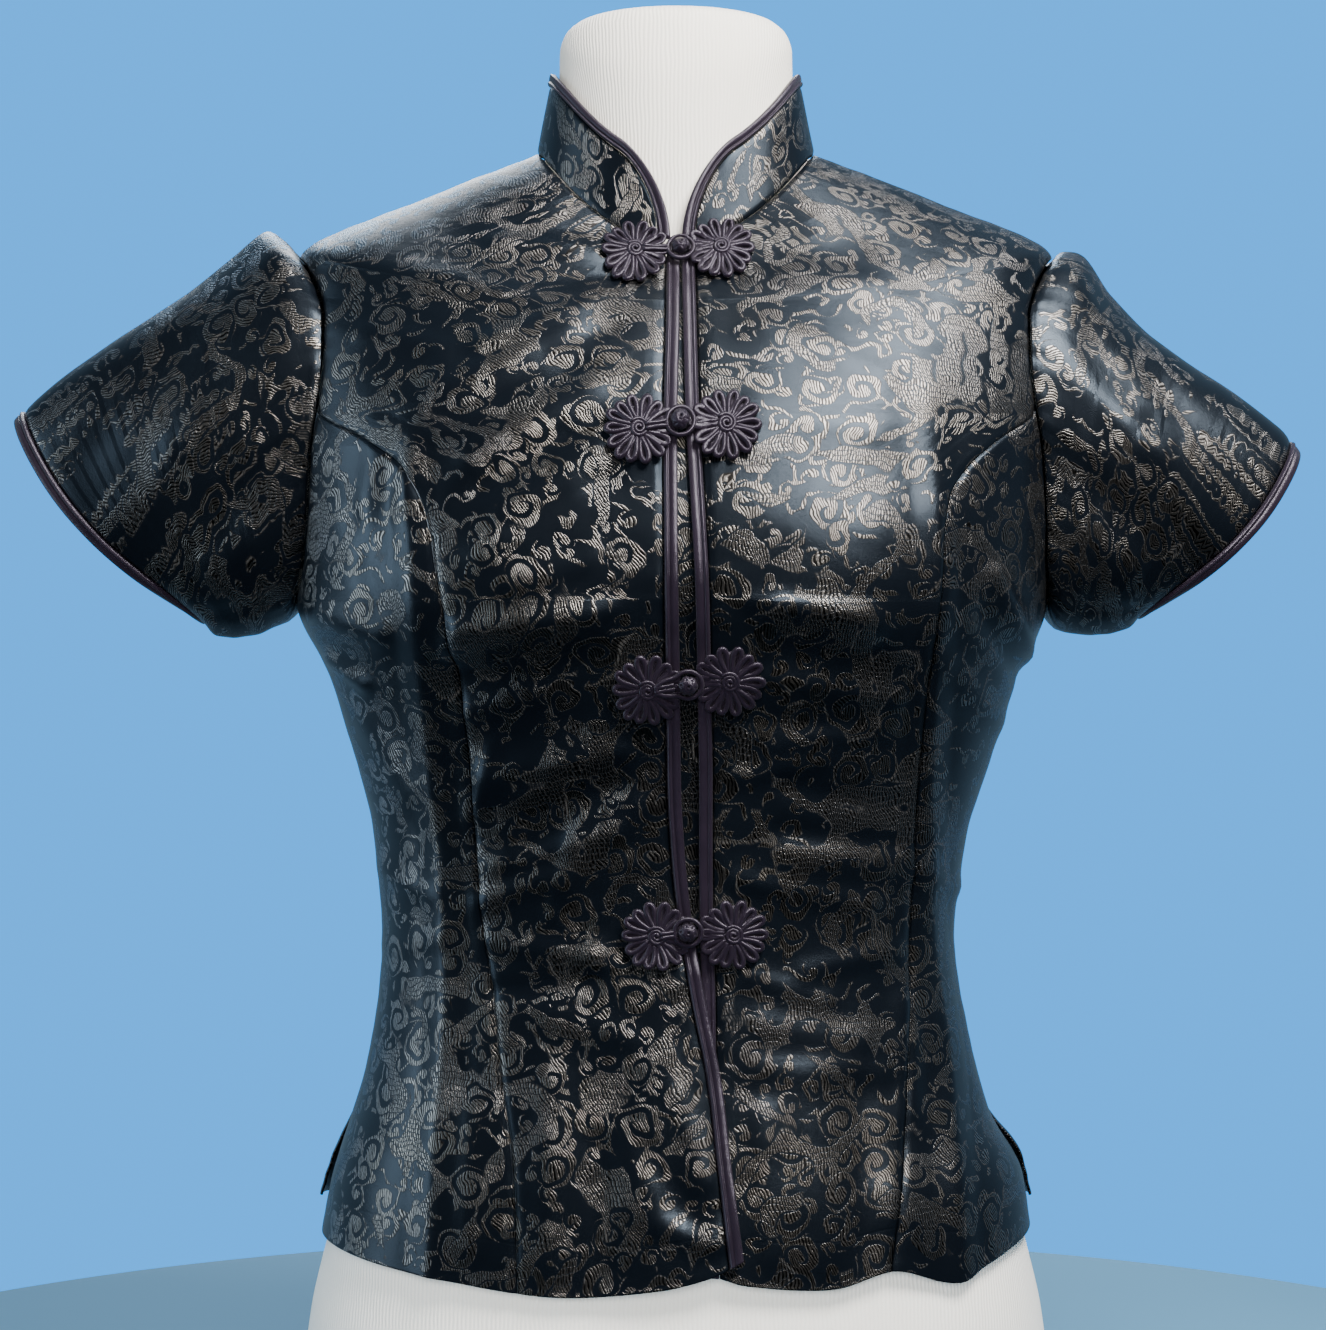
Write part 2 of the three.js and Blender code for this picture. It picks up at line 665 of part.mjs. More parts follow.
function sleeveAt(side, turn, t, out) {
  const step = 0.02;
  const before = Math.max(t - step, 0);
  const round = (angle) => (angle + 2 * Math.PI) % (2 * Math.PI);
  const acrossTurn = sleeveSurface(side, round(turn + 0.08), t).sub(sleeveSurface(side, round(turn - 0.08), t));
  const acrossT = sleeveSurface(side, turn, Math.min(t + step, 1)).sub(sleeveSurface(side, turn, before));
  const normal = acrossTurn.cross(acrossT).normalize().multiplyScalar(sleeves[side].way);
  return sleeveSurface(side, turn, t).addScaledVector(normal, out);
}

/** Angles round the armhole at the panels' own levels, so that the sleeve meets them point for point. */
function sleeveTurns(side) {
  const turnAt = (rows, level) => along([...rows].sort((a, b) => a.level - b.level), "level", "turn", level);
  const down = [...armholeLevels].reverse().map((level) => turnAt(loops[side].front, level));
  const up = armholeLevels.slice(1, -1).map((level) => turnAt(loops[side].back, level));
  return [...down, ...up];
}

/** How far along the sleeve a distance in from the cuff's edge is. */
function cuffShare(side, turn, distance) {
  const length = sleeveSurface(side, turn, 0.9).distanceTo(sleeveSurface(side, turn, 1)) / 0.1;
  return 1 - distance / length;
}

const sleeveStart = 0.006; // share of the sleeve that the armhole seam takes

function sleeveCloth(side) {
  const turns = sleeveTurns(side);
  const shares = [sleeveStart, ...sleeveRows.slice(1)];
  const face = (out) => {
    const rows = shares.map((t) => turns.map((turn) => sleeveAt(side, turn, t, out)));
    const ends = turns.map((turn) => sleeveAt(side, turn, cuffShare(side, turn, bindingWidth + seamGap), out));
    return [...rows, ends];
  };
  return solidBetween(face(0), face(-wall), true);
}

function cuffBinding(side) {
  const stations = sleeveTurns(side).map((turn) =>
    bindingSection.map(([share, out]) => sleeveAt(side, turn, cuffShare(side, turn, share * bindingWidth), out)),
  );
  return barThrough(stations, true);
}

// ---------------------------------------------------------------- frogs

const wasm = await Module();
wasm.setup();

function manifoldOf(geometry) {
  const bare = geometry.clone();
  for (const name of ["normal", "uv"]) bare.deleteAttribute(name);
  const merged = mergeVertices(bare, 1e-4);
  return new wasm.Manifold(
    new wasm.Mesh({
      numProp: 3,
      vertProperties: new Float32Array(merged.getAttribute("position").array),
      triVerts: new Uint32Array(merged.getIndex().array),
    }),
  );
}

/** A flower of folded cord, flat: x and y lie in its plane and z is out. lean is where the edge binding lies. */
function flowerSolid(lean) {
  const points = flower.petals * 2;
  const ring = (radius, valley, out, dip) =>
    Array.from({ length: points }, (_, i) => {
      const turn = (Math.PI * 2 * i) / points;
      const reach = radius * (i % 2 ? valley : 1);
      const x = reach * Math.cos(turn);
      const tilt = flower.tilt * clamp((x * lean) / flower.radius, 0, 1);
      return new THREE.Vector3(x, reach * Math.sin(turn), out - (i % 2 ? dip : 0) + tilt);
    });
  const { radius, base } = flower;
  const rings = [
    ring(radius * 0.3, 1, base, 0),
    ring(radius * 0.97, 0.9, base, 0),
    ring(radius, 0.88, base + 1.1, 0.2),
    ring(radius * 0.8, 0.95, base + 2.6, 0.9),
    ring(radius * 0.3, 1, base + 2.9, 0),
  ];
  return barThrough(rings);
}

/** A flat bar with square ends between two points of the plane, from low to high. */
function cordBar(from, to, width, low, high) {
  const length = from.distanceTo(to);
  const bar = new THREE.BoxGeometry(length, width, high - low);
  bar.rotateZ(Math.atan2(to.y - from.y, to.x - from.x));
  bar.translate((from.x + to.x) / 2, (from.y + to.y) / 2, (low + high) / 2);
  return bar;
}

/** The round button of the knot, as a stack of rings. */
function knotSolid(centre) {
  const tall = (knot.high - knot.low) / 2;
  const around = 8;
  const rings = spread(-65, 65, 4).map((angle) => {
    const radius = knot.radius * Math.cos(radians(angle));
    const out = knot.low + tall + (tall * Math.sin(radians(angle))) / Math.sin(radians(65));
    return Array.from({ length: around }, (_, i) => {
      const turn = (Math.PI * 2 * i) / around;
      return new THREE.Vector3(centre.x + radius * Math.cos(turn), centre.y + radius * Math.sin(turn), out);
    });
  });
  return barThrough(rings);
}

function loopRing(centre) {
  const ring = new THREE.TorusGeometry(loop.radius, loop.cord, 5, 14);
  ring.translate(centre.x, centre.y, loop.out);
  return ring;
}

/** Room for the other flower's loop over this one. */
function loopRoom(centre) {
  const radius = loop.radius + loop.cord + frogGap;
  const room = new THREE.CylinderGeometry(radius, radius, loopRoomDepth, 16);
  room.rotateX(Math.PI / 2);
  room.translate(centre.x, centre.y, loop.out - loop.cord - frogGap + loopRoomDepth / 2);
  return room;
}

/** Room for the other flower's button and stem through this one. */
function knotRoom(centre, towards) {
  const room = new THREE.CylinderGeometry(knot.radius + frogGap, knot.radius + frogGap, 4 * loopRoomDepth, 16);
  room.rotateX(Math.PI / 2);
  room.translate(centre.x, centre.y, 0);
  const bar = cordBar(centre, towards, stem.width + 2 * frogGap, -loopRoomDepth, stem.high + frogGap);
  return manifoldOf(room).add(manifoldOf(bar));
}

/** The skin that a frog lies on: the front up to the neckline, and the collar above it. */
function frontSkin(x, z, out) {
  let level = z;
  for (let i = 0; i < 12; i += 1) {
    const phi = phiAt(x, clamp(level, hemLevel, neckLevel));
    level = clamp(level + z - body(phi, level).z, hemLevel, neckLevel);
  }
  const piece = x < along(frontLines, "level", "edgeRight", level) ? "right" : "left";
  const phi = phiAt(x, level);
  const over = z - body(phi, level).z;
  const near = body(phi, level).distanceTo(body(phiAt(x, neckLevel), neckLevel));
  const onCollar = collarNormal(phiAt(x, neckLevel), 0);
  if (over > 0.01) {
    const share = 1 - 0.5 * (1 - ease(0, 14, over));
    const normal = onCollar.lerp(bodyNormal(phi, neckLevel), 1 - share).normalize();
    return collarSurface(phi, over).addScaledVector(normal, out);
  }
  const flat = cloth(piece, phi, level, 0);
  const normal = bodyNormal(phi, level).lerp(onCollar, 0.5 * (1 - ease(0, 14, near))).normalize();
  return flat.addScaledVector(normal, out);
}

/** The outer skin of a joined solid: pockets sealed inside it are filled. */
function filled(solid) {
  const shells = solid.decompose().sort((a, b) => b.volume() - a.volume());
  return shells[0];
}

/** Lays a flat solid on the front: its plane's zero is at (x, z) there. */
function laidOnFront(solid, x, z) {
  const mesh = filled(solid).getMesh();
  const positions = [];
  for (let i = 0; i < mesh.numVert; i += 1) {
    const [u, w, out] = mesh.vertProperties.slice(i * mesh.numProp, i * mesh.numProp + 3);
    const point = frontSkin(x + u, z + w, out);
    positions.push(point.x, point.y, point.z);
  }
  return geometryFrom(positions, Array.from(mesh.triVerts));
}

function frogPieces(frog) {
  const toKnot = new THREE.Vector2(frog.knotX - frog.loopX, frog.knotZ - frog.loopZ);
  const fromFlower = new THREE.Vector2(frog.knotX - frog.flowerX, frog.knotZ - frog.flowerZ);
  const centre = new THREE.Vector2(0, 0);
  const reachOut = toKnot.clone().setLength(toKnot.length() - loop.radius);
  const loopBar = cordBar(centre, reachOut, loop.bar, loop.out - loop.cord, loop.out + loop.cord * 0.7);
  const onwards = new THREE.Vector2(frog.flowerX - frog.loopX, frog.flowerZ - frog.loopZ);
  const open = manifoldOf(flowerSolid(1)).subtract(knotRoom(toKnot, onwards));
  const looped = open.add(manifoldOf(loopBar)).add(manifoldOf(loopRing(toKnot)));
  const cleared = manifoldOf(flowerSolid(-1)).subtract(manifoldOf(loopRoom(fromFlower)));
  const stemBar = cordBar(centre, fromFlower, stem.width, stem.low, stem.high);
  const knotted = cleared.add(manifoldOf(stemBar)).add(manifoldOf(knotSolid(fromFlower)));
  return {
    loop: laidOnFront(looped, frog.loopX, frog.loopZ),
    knot: laidOnFront(knotted, frog.flowerX, frog.flowerZ),
  };
}

// ---------------------------------------------------------------- dress form

function dressForm() {
  const levels = [];
  for (let i = 0; i < formRings.length - 1; i += 1) {
    const steps = Math.max(1, Math.round((formRings[i + 1].level - formRings[i].level) / 40));
    levels.push(...spread(formRings[i].level, formRings[i + 1].level, steps).slice(0, -1));
  }
  levels.push(formRings.at(-1).level);
  const around = 26;
  const rings = levels.map((level) => {
    const ring = ringAt(formRings, level);
    return Array.from({ length: around }, (_, i) => ringPoint(ring, (2 * Math.PI * i) / around));
  });
  return barThrough(rings);
}

// ---------------------------------------------------------------- the part

const blouse = new THREE.Group();

function add(name, geometry, finish) {
  const mesh = new THREE.Mesh(geometry, new THREE.MeshStandardMaterial(colours[finish]));
  mesh.name = name;
  blouse.add(mesh);
}

for (const [name, geometry] of Object.entries(fronts)) add(name, geometry, "brocade");
add("back", back, "brocade");
add("underlap", underlapStrip(), "brocade");
add("collar", collarCloth(), "brocade");
add("collar_binding", collarBinding(), "satin");
add("front_binding_right", frontBinding("right", "edgeRight", -1), "satin");
add("front_binding_left", frontBinding("left", "edgeLeft", 1), "satin");
for (const side of ["right", "left"]) {
  add(`sleeve_${side}`, sleeveCloth(side), "brocade");
  add(`cuff_binding_${side}`, cuffBinding(side), "satin");
}
for (const frog of frogs) {
  const pieces = frogPieces(frog);
  add(`frog_${frog.number}_loop`, pieces.loop, "satin");
  add(`frog_${frog.number}_knot`, pieces.knot, "satin");
}
add("form", dressForm(), "jersey");

export default blouse;
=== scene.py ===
# %% [markdown]
# # A tang-style blouse on a dress form
# The piece is a fitted brocade blouse with a standing collar, satin-bound edges and four flower frogs,
# worn on a limbless form. Its cloth could be simulated, but a fitted blouse barely hangs: its shape
# comes from its cut. So every piece here is a stretch of one measured surface, as a cutter thinks of it,
# with folds laid on it. Lengths are in millimetres until a mesh is made, in metres.

# %% The frame
import math

import bmesh
import bpy
import numpy as np
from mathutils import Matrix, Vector


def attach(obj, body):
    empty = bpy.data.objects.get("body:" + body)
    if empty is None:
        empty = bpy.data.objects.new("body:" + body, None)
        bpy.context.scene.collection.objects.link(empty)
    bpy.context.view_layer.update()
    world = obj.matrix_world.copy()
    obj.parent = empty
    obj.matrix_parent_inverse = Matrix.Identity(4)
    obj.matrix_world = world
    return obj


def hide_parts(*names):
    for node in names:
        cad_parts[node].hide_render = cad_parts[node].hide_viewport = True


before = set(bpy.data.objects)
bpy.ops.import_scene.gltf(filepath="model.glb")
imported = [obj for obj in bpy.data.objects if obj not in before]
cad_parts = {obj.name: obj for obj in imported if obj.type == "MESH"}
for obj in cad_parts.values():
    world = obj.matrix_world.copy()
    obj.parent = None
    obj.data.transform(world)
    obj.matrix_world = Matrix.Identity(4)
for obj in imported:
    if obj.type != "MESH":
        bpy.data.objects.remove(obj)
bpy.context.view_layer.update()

MM = 0.001

# %% [markdown]
# ## The camera
# The view is level and straight on, from about one and a half metres. Far enough to keep the shoulders
# true, near enough that the chest looks a little larger than the sleeves, as it does to a standing viewer.

# %% The camera
CAMERA_AWAY = 1.5
CAMERA_SIDE = -0.0065
CAMERA_HEIGHT = 0.400
HALF_HEIGHT_SEEN = 0.3325  # at the form's middle
SENSOR = 24

scene = bpy.context.scene
camera_data = bpy.data.cameras.new("camera")
camera_data.sensor_fit = "VERTICAL"
camera_data.sensor_height = SENSOR
camera_data.lens = SENSOR / 2 * CAMERA_AWAY / HALF_HEIGHT_SEEN
camera = bpy.data.objects.new("camera", camera_data)
camera.location = (CAMERA_SIDE, -CAMERA_AWAY, CAMERA_HEIGHT)
camera.rotation_euler = (math.radians(90), 0, 0)
scene.collection.objects.link(camera)
scene.camera = camera
print("lens", round(camera_data.lens, 1), "mm")

# %% [markdown]
# ## The cut
# A cutter keeps the shape of a blouse as measures taken at heights: half the width, the depth before and
# behind, how much a ring rises at the front. Between the heights the curve is fair and never overshoots,
# which a monotone cubic gives and a plain spline doesn't.


# %% Tables and fair curves
def table(columns, rows):
    return {name: np.array(values, float) for name, values in zip(columns.split(), zip(*rows))}


def along(rows, key, column, at):
    """A fair curve with no overshoot through one column of a table."""
    x, y = rows[key], rows[column]
    at = np.clip(at, x[0], x[-1])
    span = np.diff(x)
    slope = np.diff(y) / span
    before, after = slope[:-1], slope[1:]
    turning = before * after <= 0
    tangent = np.concatenate([slope[:1], np.zeros(len(y) - 2), slope[-1:]])
    tangent[1:-1] = np.where(turning, 0, 2 * before * after / np.where(turning, 1, before + after))
    i = np.clip(np.searchsorted(x, at, side="right") - 1, 0, len(x) - 2)
    t = (at - x[i]) / span[i]
    rise = t * t * (3 - 2 * t)
    bend = t * (1 - t) ** 2 * tangent[i] + t * t * (t - 1) * tangent[i + 1]
    return y[i] * (1 - rise) + y[i + 1] * rise + span[i] * bend


def ease(start, end, at):
    t = np.clip((at - start) / (end - start), 0, 1)
    return t * t * (3 - 2 * t)


def spread(start, end, count):
    return np.linspace(start, end, count + 1)


print("a table's curve can be asked at any height, or at thousands of them at once")

# %% The measures of the blouse
WALL = 1.2
HEM, LAP_FULL, LAP_START, ARMPIT, SHOULDER, NECK = 120, 256, 268, 430, 604, 657
LAP_LIFT, LAP_FADE = 2.8, 45
BINDING = 6.4
TO_BINDING = BINDING + 0.2  # where the cloth beside a binding ends
COLLAR_HEIGHT, COLLAR_CORNER, COLLAR_TOP = 44, 32, 697
PRINCESS_END, PRINCESS_TIP = 524, 0.02

blouse_rings = table("level half shift fore aft mid front back square", [
    (120, 176, 0, 121, 117, 0, -10, -4, 2.3),
    (150, 170.5, 0.5, 117, 114, 0, -8, -3, 2.3),
    (180, 158, -2.5, 111, 107, 0, -6, -2, 2.3),
    (212, 149.5, -2.5, 104, 99, 0, -4, -1, 2.25),
    (265, 142.5, -4, 98, 88, 0, 0, 0, 2.2),
    (312, 147, -3, 101, 90, 0, 0, 0, 2.2),
    (355, 158.5, -1.5, 108, 96, 0, 0, 0, 2.2),
    (395, 171.5, -1, 118, 102, 0, 0, 0, 2.25),
    (430, 186, -2, 127.6, 107, 0, 0, 0, 2.3),
    (442, 186.7, -1.4, 128.8, 107.7, 0.2, -0.2, 0.7, 2.3),
    (456, 187.4, -0.7, 128.6, 108.4, 0.6, -0.6, 1.4, 2.3),
    (470, 188, 0, 127.6, 108.9, 1.2, -1.3, 2, 2.3),
    (490, 188.9, 0, 125, 108.8, 2.4, -3.2, 2, 2.3),
    (515, 190, 0, 121, 108, 4, -6, 2, 2.3),
    (560, 191, 0, 104, 100, 8, -15, 0, 2.25),
    (604, 189, 0, 84, 82, 12, -30, -2, 2.1),
    (634, 128, 0, 68, 72, 13, -43, 6, 2.05),
    (657, 70, 0, 57, 58, 13, -52, 7, 2),
])
front_lines = table("level seam_right seam_left edge_right edge_left crease_right crease_left", [
    (120, -74, 100, 30.5, 13, -115, 134),
    (168, -76, 106.5, 25.5, 12.5, -114, 132.5),
    (210, -82.5, 109.5, 20.5, 12, -111, 130.5),
    (245, -87, 112, 13, 11.6, -110, 126),
    (281, -92.5, 112.5, 7, 10.6, -111, 122),
    (311, -95, 113.5, 3.8, 10.3, -112.5, 121.5),
    (345, -97, 114.5, 1.9, 10.2, -116, 119.5),
    (387, -100.4, 116.5, 1.4, 9.4, -118.5, 119.5),
    (438, -109.3, 121, 0.5, 8.1, -121, 120),
    (461, -113.3, 123, 0.3, 7, -122.5, 120),
    (480, -119, 127, 0.2, 6, -124, 120),
    (495, -128, 137, 0.1, 5.2, -125, 119),
    (509, -147, 153, 0.1, 4.4, -126, 118.5),
    (525, -174, 174, 0.2, 3.8, -126, 118),
    (590, -174, 174, 1.3, 2.9, -124, 121),
    (657, -174, 174, 1.6, 2.3, -123, 124),
])
armhole = table("level front back", [
    (430, 186, 186),
    (438, 183.5, 182),
    (447, 181.5, 178),
    (460, 180, 175),
    (480, 179, 172),
    (505, 177, 170),
    (525, 174, 169),
    (550, 171.5, 168),
    (574, 172, 169),
    (590, 177, 173),
    (600, 184.5, 182),
    (604, 189, 189),
])
hem_right = table("x rise", [(-176, 1), (-115, 0), (-58, -2.5), (-10, 2), (15, 8), (31, 16)])
hem_left = table("x rise", [(10, 8), (16, 8), (31, 4), (72, 0), (100, 5), (134, -6), (146, -2), (176, 5)])
HEM_BLEND = 60
VENT_RISE, VENT_FLARE, VENT_SHARPNESS = 15, 2.5, 10
print("chest", round(2 * blouse_rings["half"].max()), "mm across the form, waist",
      round(2 * blouse_rings["half"].min(initial=999, where=blouse_rings["level"] < SHOULDER)), "mm")


# %% The surface that the blouse is cut from
def ring_point(rows, phi, level):
    ring = {name: along(rows, "level", name, level) for name in rows if name != "level"}
    across, facing = np.sin(phi), np.cos(phi)
    power = 2 / ring["square"]
    depth = np.where(facing > 0, ring["fore"], ring["aft"])
    rise = np.where(facing > 0, ring["front"], ring["back"])
    return np.stack([
        ring["shift"] + ring["half"] * np.sign(across) * np.abs(across) ** power,
        ring["mid"] - depth * np.sign(facing) * np.abs(facing) ** power,
        level + rise * facing**2,
    ], axis=-1)


def body(phi, level):
    return ring_point(blouse_rings, phi, level)


def phi_at(x, level):
    half, shift, square = (along(blouse_rings, "level", name, level) for name in ("half", "shift", "square"))
    share = np.clip((x - shift) / half, -1, 1)
    return np.sign(share) * np.arcsin(np.abs(share) ** (square / 2))


def unit(vectors):
    return vectors / np.maximum(np.linalg.norm(vectors, axis=-1, keepdims=True), 1e-9)


def normal_of(surface, a, b, step_a, step_b, last_b=np.inf):
    across_a = surface(a + step_a, b) - surface(a - step_a, b)
    across_b = surface(a, np.minimum(b + step_b, last_b)) - surface(a, b - step_b)
    return unit(np.cross(across_a, across_b))


def body_normal(phi, level):
    return normal_of(body, phi, level, 0.03, 4, NECK)


print("centre front at the neck:", body(np.array(0.0), np.array(float(NECK))).round(1))

# %% [markdown]
# ## Folds
# Satin shows every small drag line. Simulated cloth makes folds of its own choosing, so these are placed:
# each row is a ridge (or a trough, below 0) from one point to another, with its height and its width.
# The long ones fan from the third frog and run under the bust; the back and sides have their own.

# %% Folds, creases and puckers
folds = table("face from_x from_z to_x to_z height width", [
    (1, -40, 420, -101, 411, 3.6, 9), (1, -46, 404, -96, 396, -2.6, 9),
    (1, 46, 426, 88, 420, 3.2, 9), (1, 52, 410, 88, 404, -2.4, 9),
    (1, -50, 557, -106, 530, 2.2, 9), (1, -42, 527, -95, 497, 2, 9),
    (1, -49, 478, -87, 452, 1.8, 10), (1, -34, 363, -85, 347, 2.6, 9),
    (1, -34, 346, -66, 330, -2, 8), (1, -20, 334, -51, 300, 2.6, 9),
    (1, 55, 310, 108, 306, 1.8, 9), (1, -8, 210, -16, 150, 2, 11),
    (1, 60, 200, 66, 130, 2, 13), (-1, -70, 282, 62, 274, 2.6, 10),
    (-1, -52, 302, 60, 300, -2, 9), (-1, -64, 326, 40, 334, 2.2, 10),
    (-1, -80, 560, -30, 540, 1.8, 12), (-1, 78, 556, 34, 538, 1.8, 12),
])
small_folds = table("face from_x from_z to_x to_z height width", [
    (1, -84, 606, -38, 600, 1.7, 6), (1, -46, 541, -104, 514, -1.7, 6), (1, -40, 513, -90, 482, -1.5, 6),
    (1, -36, 497, -80, 470, 1.4, 5), (1, -120, 588, -64, 572, 1.4, 7), (1, -148, 560, -110, 548, 1.2, 7),
    (1, -30, 426, -99, 419, 2.0, 4), (1, -60, 388, -96, 378, 1.4, 5), (1, -24, 360, -60, 352, 1.5, 4),
    (1, -30, 322, -84, 306, 1.7, 5), (1, -62, 300, -92, 288, 1.8, 5), (1, -24, 306, -40, 262, 1.8, 6),
    (1, -88, 270, -34, 262, 1.4, 5), (1, -84, 246, -40, 252, -1.4, 6), (1, -60, 236, -24, 226, 1.4, 6),
    (1, 0, 200, 12, 160, 2.2, 6), (1, -14, 176, 8, 140, -1.8, 6), (1, -8, 140, 16, 128, 2.1, 6),
    (1, -58, 206, -60, 128, 2.1, 9), (1, -36, 176, -33, 122, -1.7, 8), (1, -96, 190, -98, 130, 1.5, 8),
    (1, 33, 430, 84, 424, 1.5, 4), (1, 40, 394, 102, 384, 1.7, 5), (1, 46, 362, 98, 372, 1.4, 6),
    (1, 50, 344, 102, 333, -1.4, 6), (1, 28, 300, 92, 286, 1.7, 5), (1, 60, 256, 104, 264, 1.4, 5),
    (1, 40, 232, 86, 222, 1.2, 7), (1, 40, 190, 44, 126, 1.8, 9), (1, 86, 200, 90, 128, -1.5, 9),
    (1, 40, 560, 96, 536, 1.2, 8), (1, 36, 520, 92, 508, 1.0, 7), (1, 60, 590, 110, 574, 1.2, 8),
    (1, 150, 442, 173, 405, 2.7, 5), (1, 143, 425, 166, 396, -1.7, 5), (1, 128, 400, 158, 372, 1.4, 6),
    (1, -168, 403, -149, 391, 2.2, 4), (1, -172, 424, -140, 414, 1.7, 6), (1, -150, 372, -128, 340, 1.2, 7),
    (1, -142, 300, -118, 290, 1.4, 5), (1, -140, 262, -112, 270, 1.2, 5), (1, 116, 300, 140, 290, 1.4, 5),
    (1, -42, 572, -92, 552, 1.7, 5), (1, -30, 560, -62, 548, -1.5, 5), (1, -60, 534, -110, 508, 1.6, 5),
    (1, -30, 486, -74, 462, -1.5, 5), (1, -52, 508, -98, 476, -1.4, 5), (1, -40, 448, -78, 438, 1.3, 6),
    (1, -112, 540, -128, 470, 1.2, 6), (1, -140, 512, -150, 452, 1.2, 6), (1, -152, 470, -140, 428, -1.1, 6),
    (1, -20, 588, -70, 584, -1.3, 5), (1, -34, 352, -72, 338, 1.5, 4), (1, -26, 344, -70, 314, -1.6, 5),
    (1, -44, 330, -58, 282, 1.4, 5), (1, -20, 300, -34, 276, -1.3, 5), (1, -86, 362, -96, 330, 1.2, 5),
    (1, 30, 348, 70, 356, 1.4, 5), (1, 34, 376, 84, 372, -1.3, 5), (1, 48, 322, 104, 314, -1.3, 5),
    (1, 34, 254, 70, 242, 1.3, 5), (1, 36, 212, 96, 208, 1.2, 7), (1, 108, 240, 110, 190, 1.1, 6),
    (-1, -100, 300, -30, 286, 1.8, 5), (-1, 96, 292, 24, 288, 1.7, 5), (-1, -96, 262, -20, 256, 1.4, 6),
    (-1, 100, 250, 34, 262, 1.4, 6), (-1, -120, 470, -70, 440, 1.7, 7), (-1, 124, 474, 76, 442, 1.7, 7),
    (-1, -150, 520, -110, 480, 1.8, 6), (-1, 152, 516, 112, 478, 1.8, 6), (-1, -60, 400, 20, 396, 1.4, 8),
    (-1, -90, 200, -92, 130, 2.0, 10), (-1, -30, 190, -28, 124, -1.7, 10), (-1, 40, 196, 44, 126, 2.0, 10),
    (-1, 110, 190, 116, 130, -1.5, 9), (-1, -60, 630, 40, 624, 1.4, 7),
])
bust = table("x z height width", [(-84, 434, 5.5, 46), (86, 437, 5.5, 46)])
CREASE_HEIGHT, CREASE_WIDTH, CREASE_TOP = 2.6, 11, 560


def ridges(rows, point, face):
    """The sum of a table's ridges and troughs at points of the surface."""
    out = np.zeros(point.shape[:-1])
    for side, from_x, from_z, to_x, to_z, height, width in zip(*rows.values()):
        run_x, run_z = to_x - from_x, to_z - from_z
        done = ((point[..., 0] - from_x) * run_x + (point[..., 2] - from_z) * run_z) / (run_x**2 + run_z**2)
        t = np.clip(done, 0, 1)
        away = np.hypot(point[..., 0] - from_x - t * run_x, point[..., 2] - from_z - t * run_z)
        out += np.where(face == side, height * np.exp(-((away / width) ** 2)), 0)
    return out


def crumple(point):
    """A faint unevenness all over, so that no stretch of satin is perfectly fair."""
    x, y, z = point[..., 0], point[..., 1], point[..., 2]
    wide = np.sin(x / 11 + 1.3 * np.sin(z / 17)) * np.sin(z / 13 + 0.7 * np.sin((x + y) / 15))
    fine = np.sin((x + 0.6 * z) / 5.2 + 1.1 * np.sin(z / 9)) * np.sin((z - 0.4 * y) / 6.1)
    return 0.22 * wide + 0.1 * fine


def relief(point, level):
    face = np.where(point[..., 1] < 0, 1, -1)
    out = ridges(folds, point, face) + ridges(small_folds, point, face) + crumple(point)
    for x, z, height, width in zip(*bust.values()):
        away = np.hypot(point[..., 0] - x, point[..., 2] - z)
        out += np.where(face > 0, height * np.exp(-((away / width) ** 2)), 0)
    right, left = (along(front_lines, "level", name, level) for name in ("crease_right", "crease_left"))
    away = np.abs(point[..., 0] - np.where(point[..., 0] < 0, right, left))
    fade = 1 - ease(CREASE_TOP - 80, CREASE_TOP, level)
    return out + np.where(face > 0, CREASE_HEIGHT * fade * np.clip(1 - away / CREASE_WIDTH, 0, 1), 0)


def hem_shift(piece, point, phi, level):
    fade = np.clip(1 - (level - HEM) / HEM_BLEND, 0, 1)
    if piece == "back":
        at_side = np.abs(np.sin(phi)) ** VENT_SHARPNESS
        return VENT_RISE * at_side * fade, VENT_FLARE * at_side * fade
    rows = hem_right if piece == "right" else hem_left
    return along(rows, "x", "rise", point[..., 0]) * fade, 0


def lap_lift(piece, x, level):
    if piece != "right":
        return 0
    return LAP_LIFT * (1 - ease(LAP_FULL, LAP_START, level)) * ease(-LAP_FADE, -5, x)


def cloth(piece, phi, level, out=0.0):
    """Points on a piece of the blouse, out millimetres above the cloth's face."""
    phi, level = np.broadcast_arrays(np.asarray(phi, float), np.asarray(level, float))
    point = body(phi, level)
    up, flare = hem_shift(piece, point, phi, level)
    lift = relief(point, level) + lap_lift(piece, point[..., 0], level) + flare + out
    moved = point + body_normal(phi, level) * np.asarray(lift)[..., None]
    moved[..., 2] += up
    return moved


print(len(folds["face"]) + len(small_folds["face"]), "folds placed by hand")
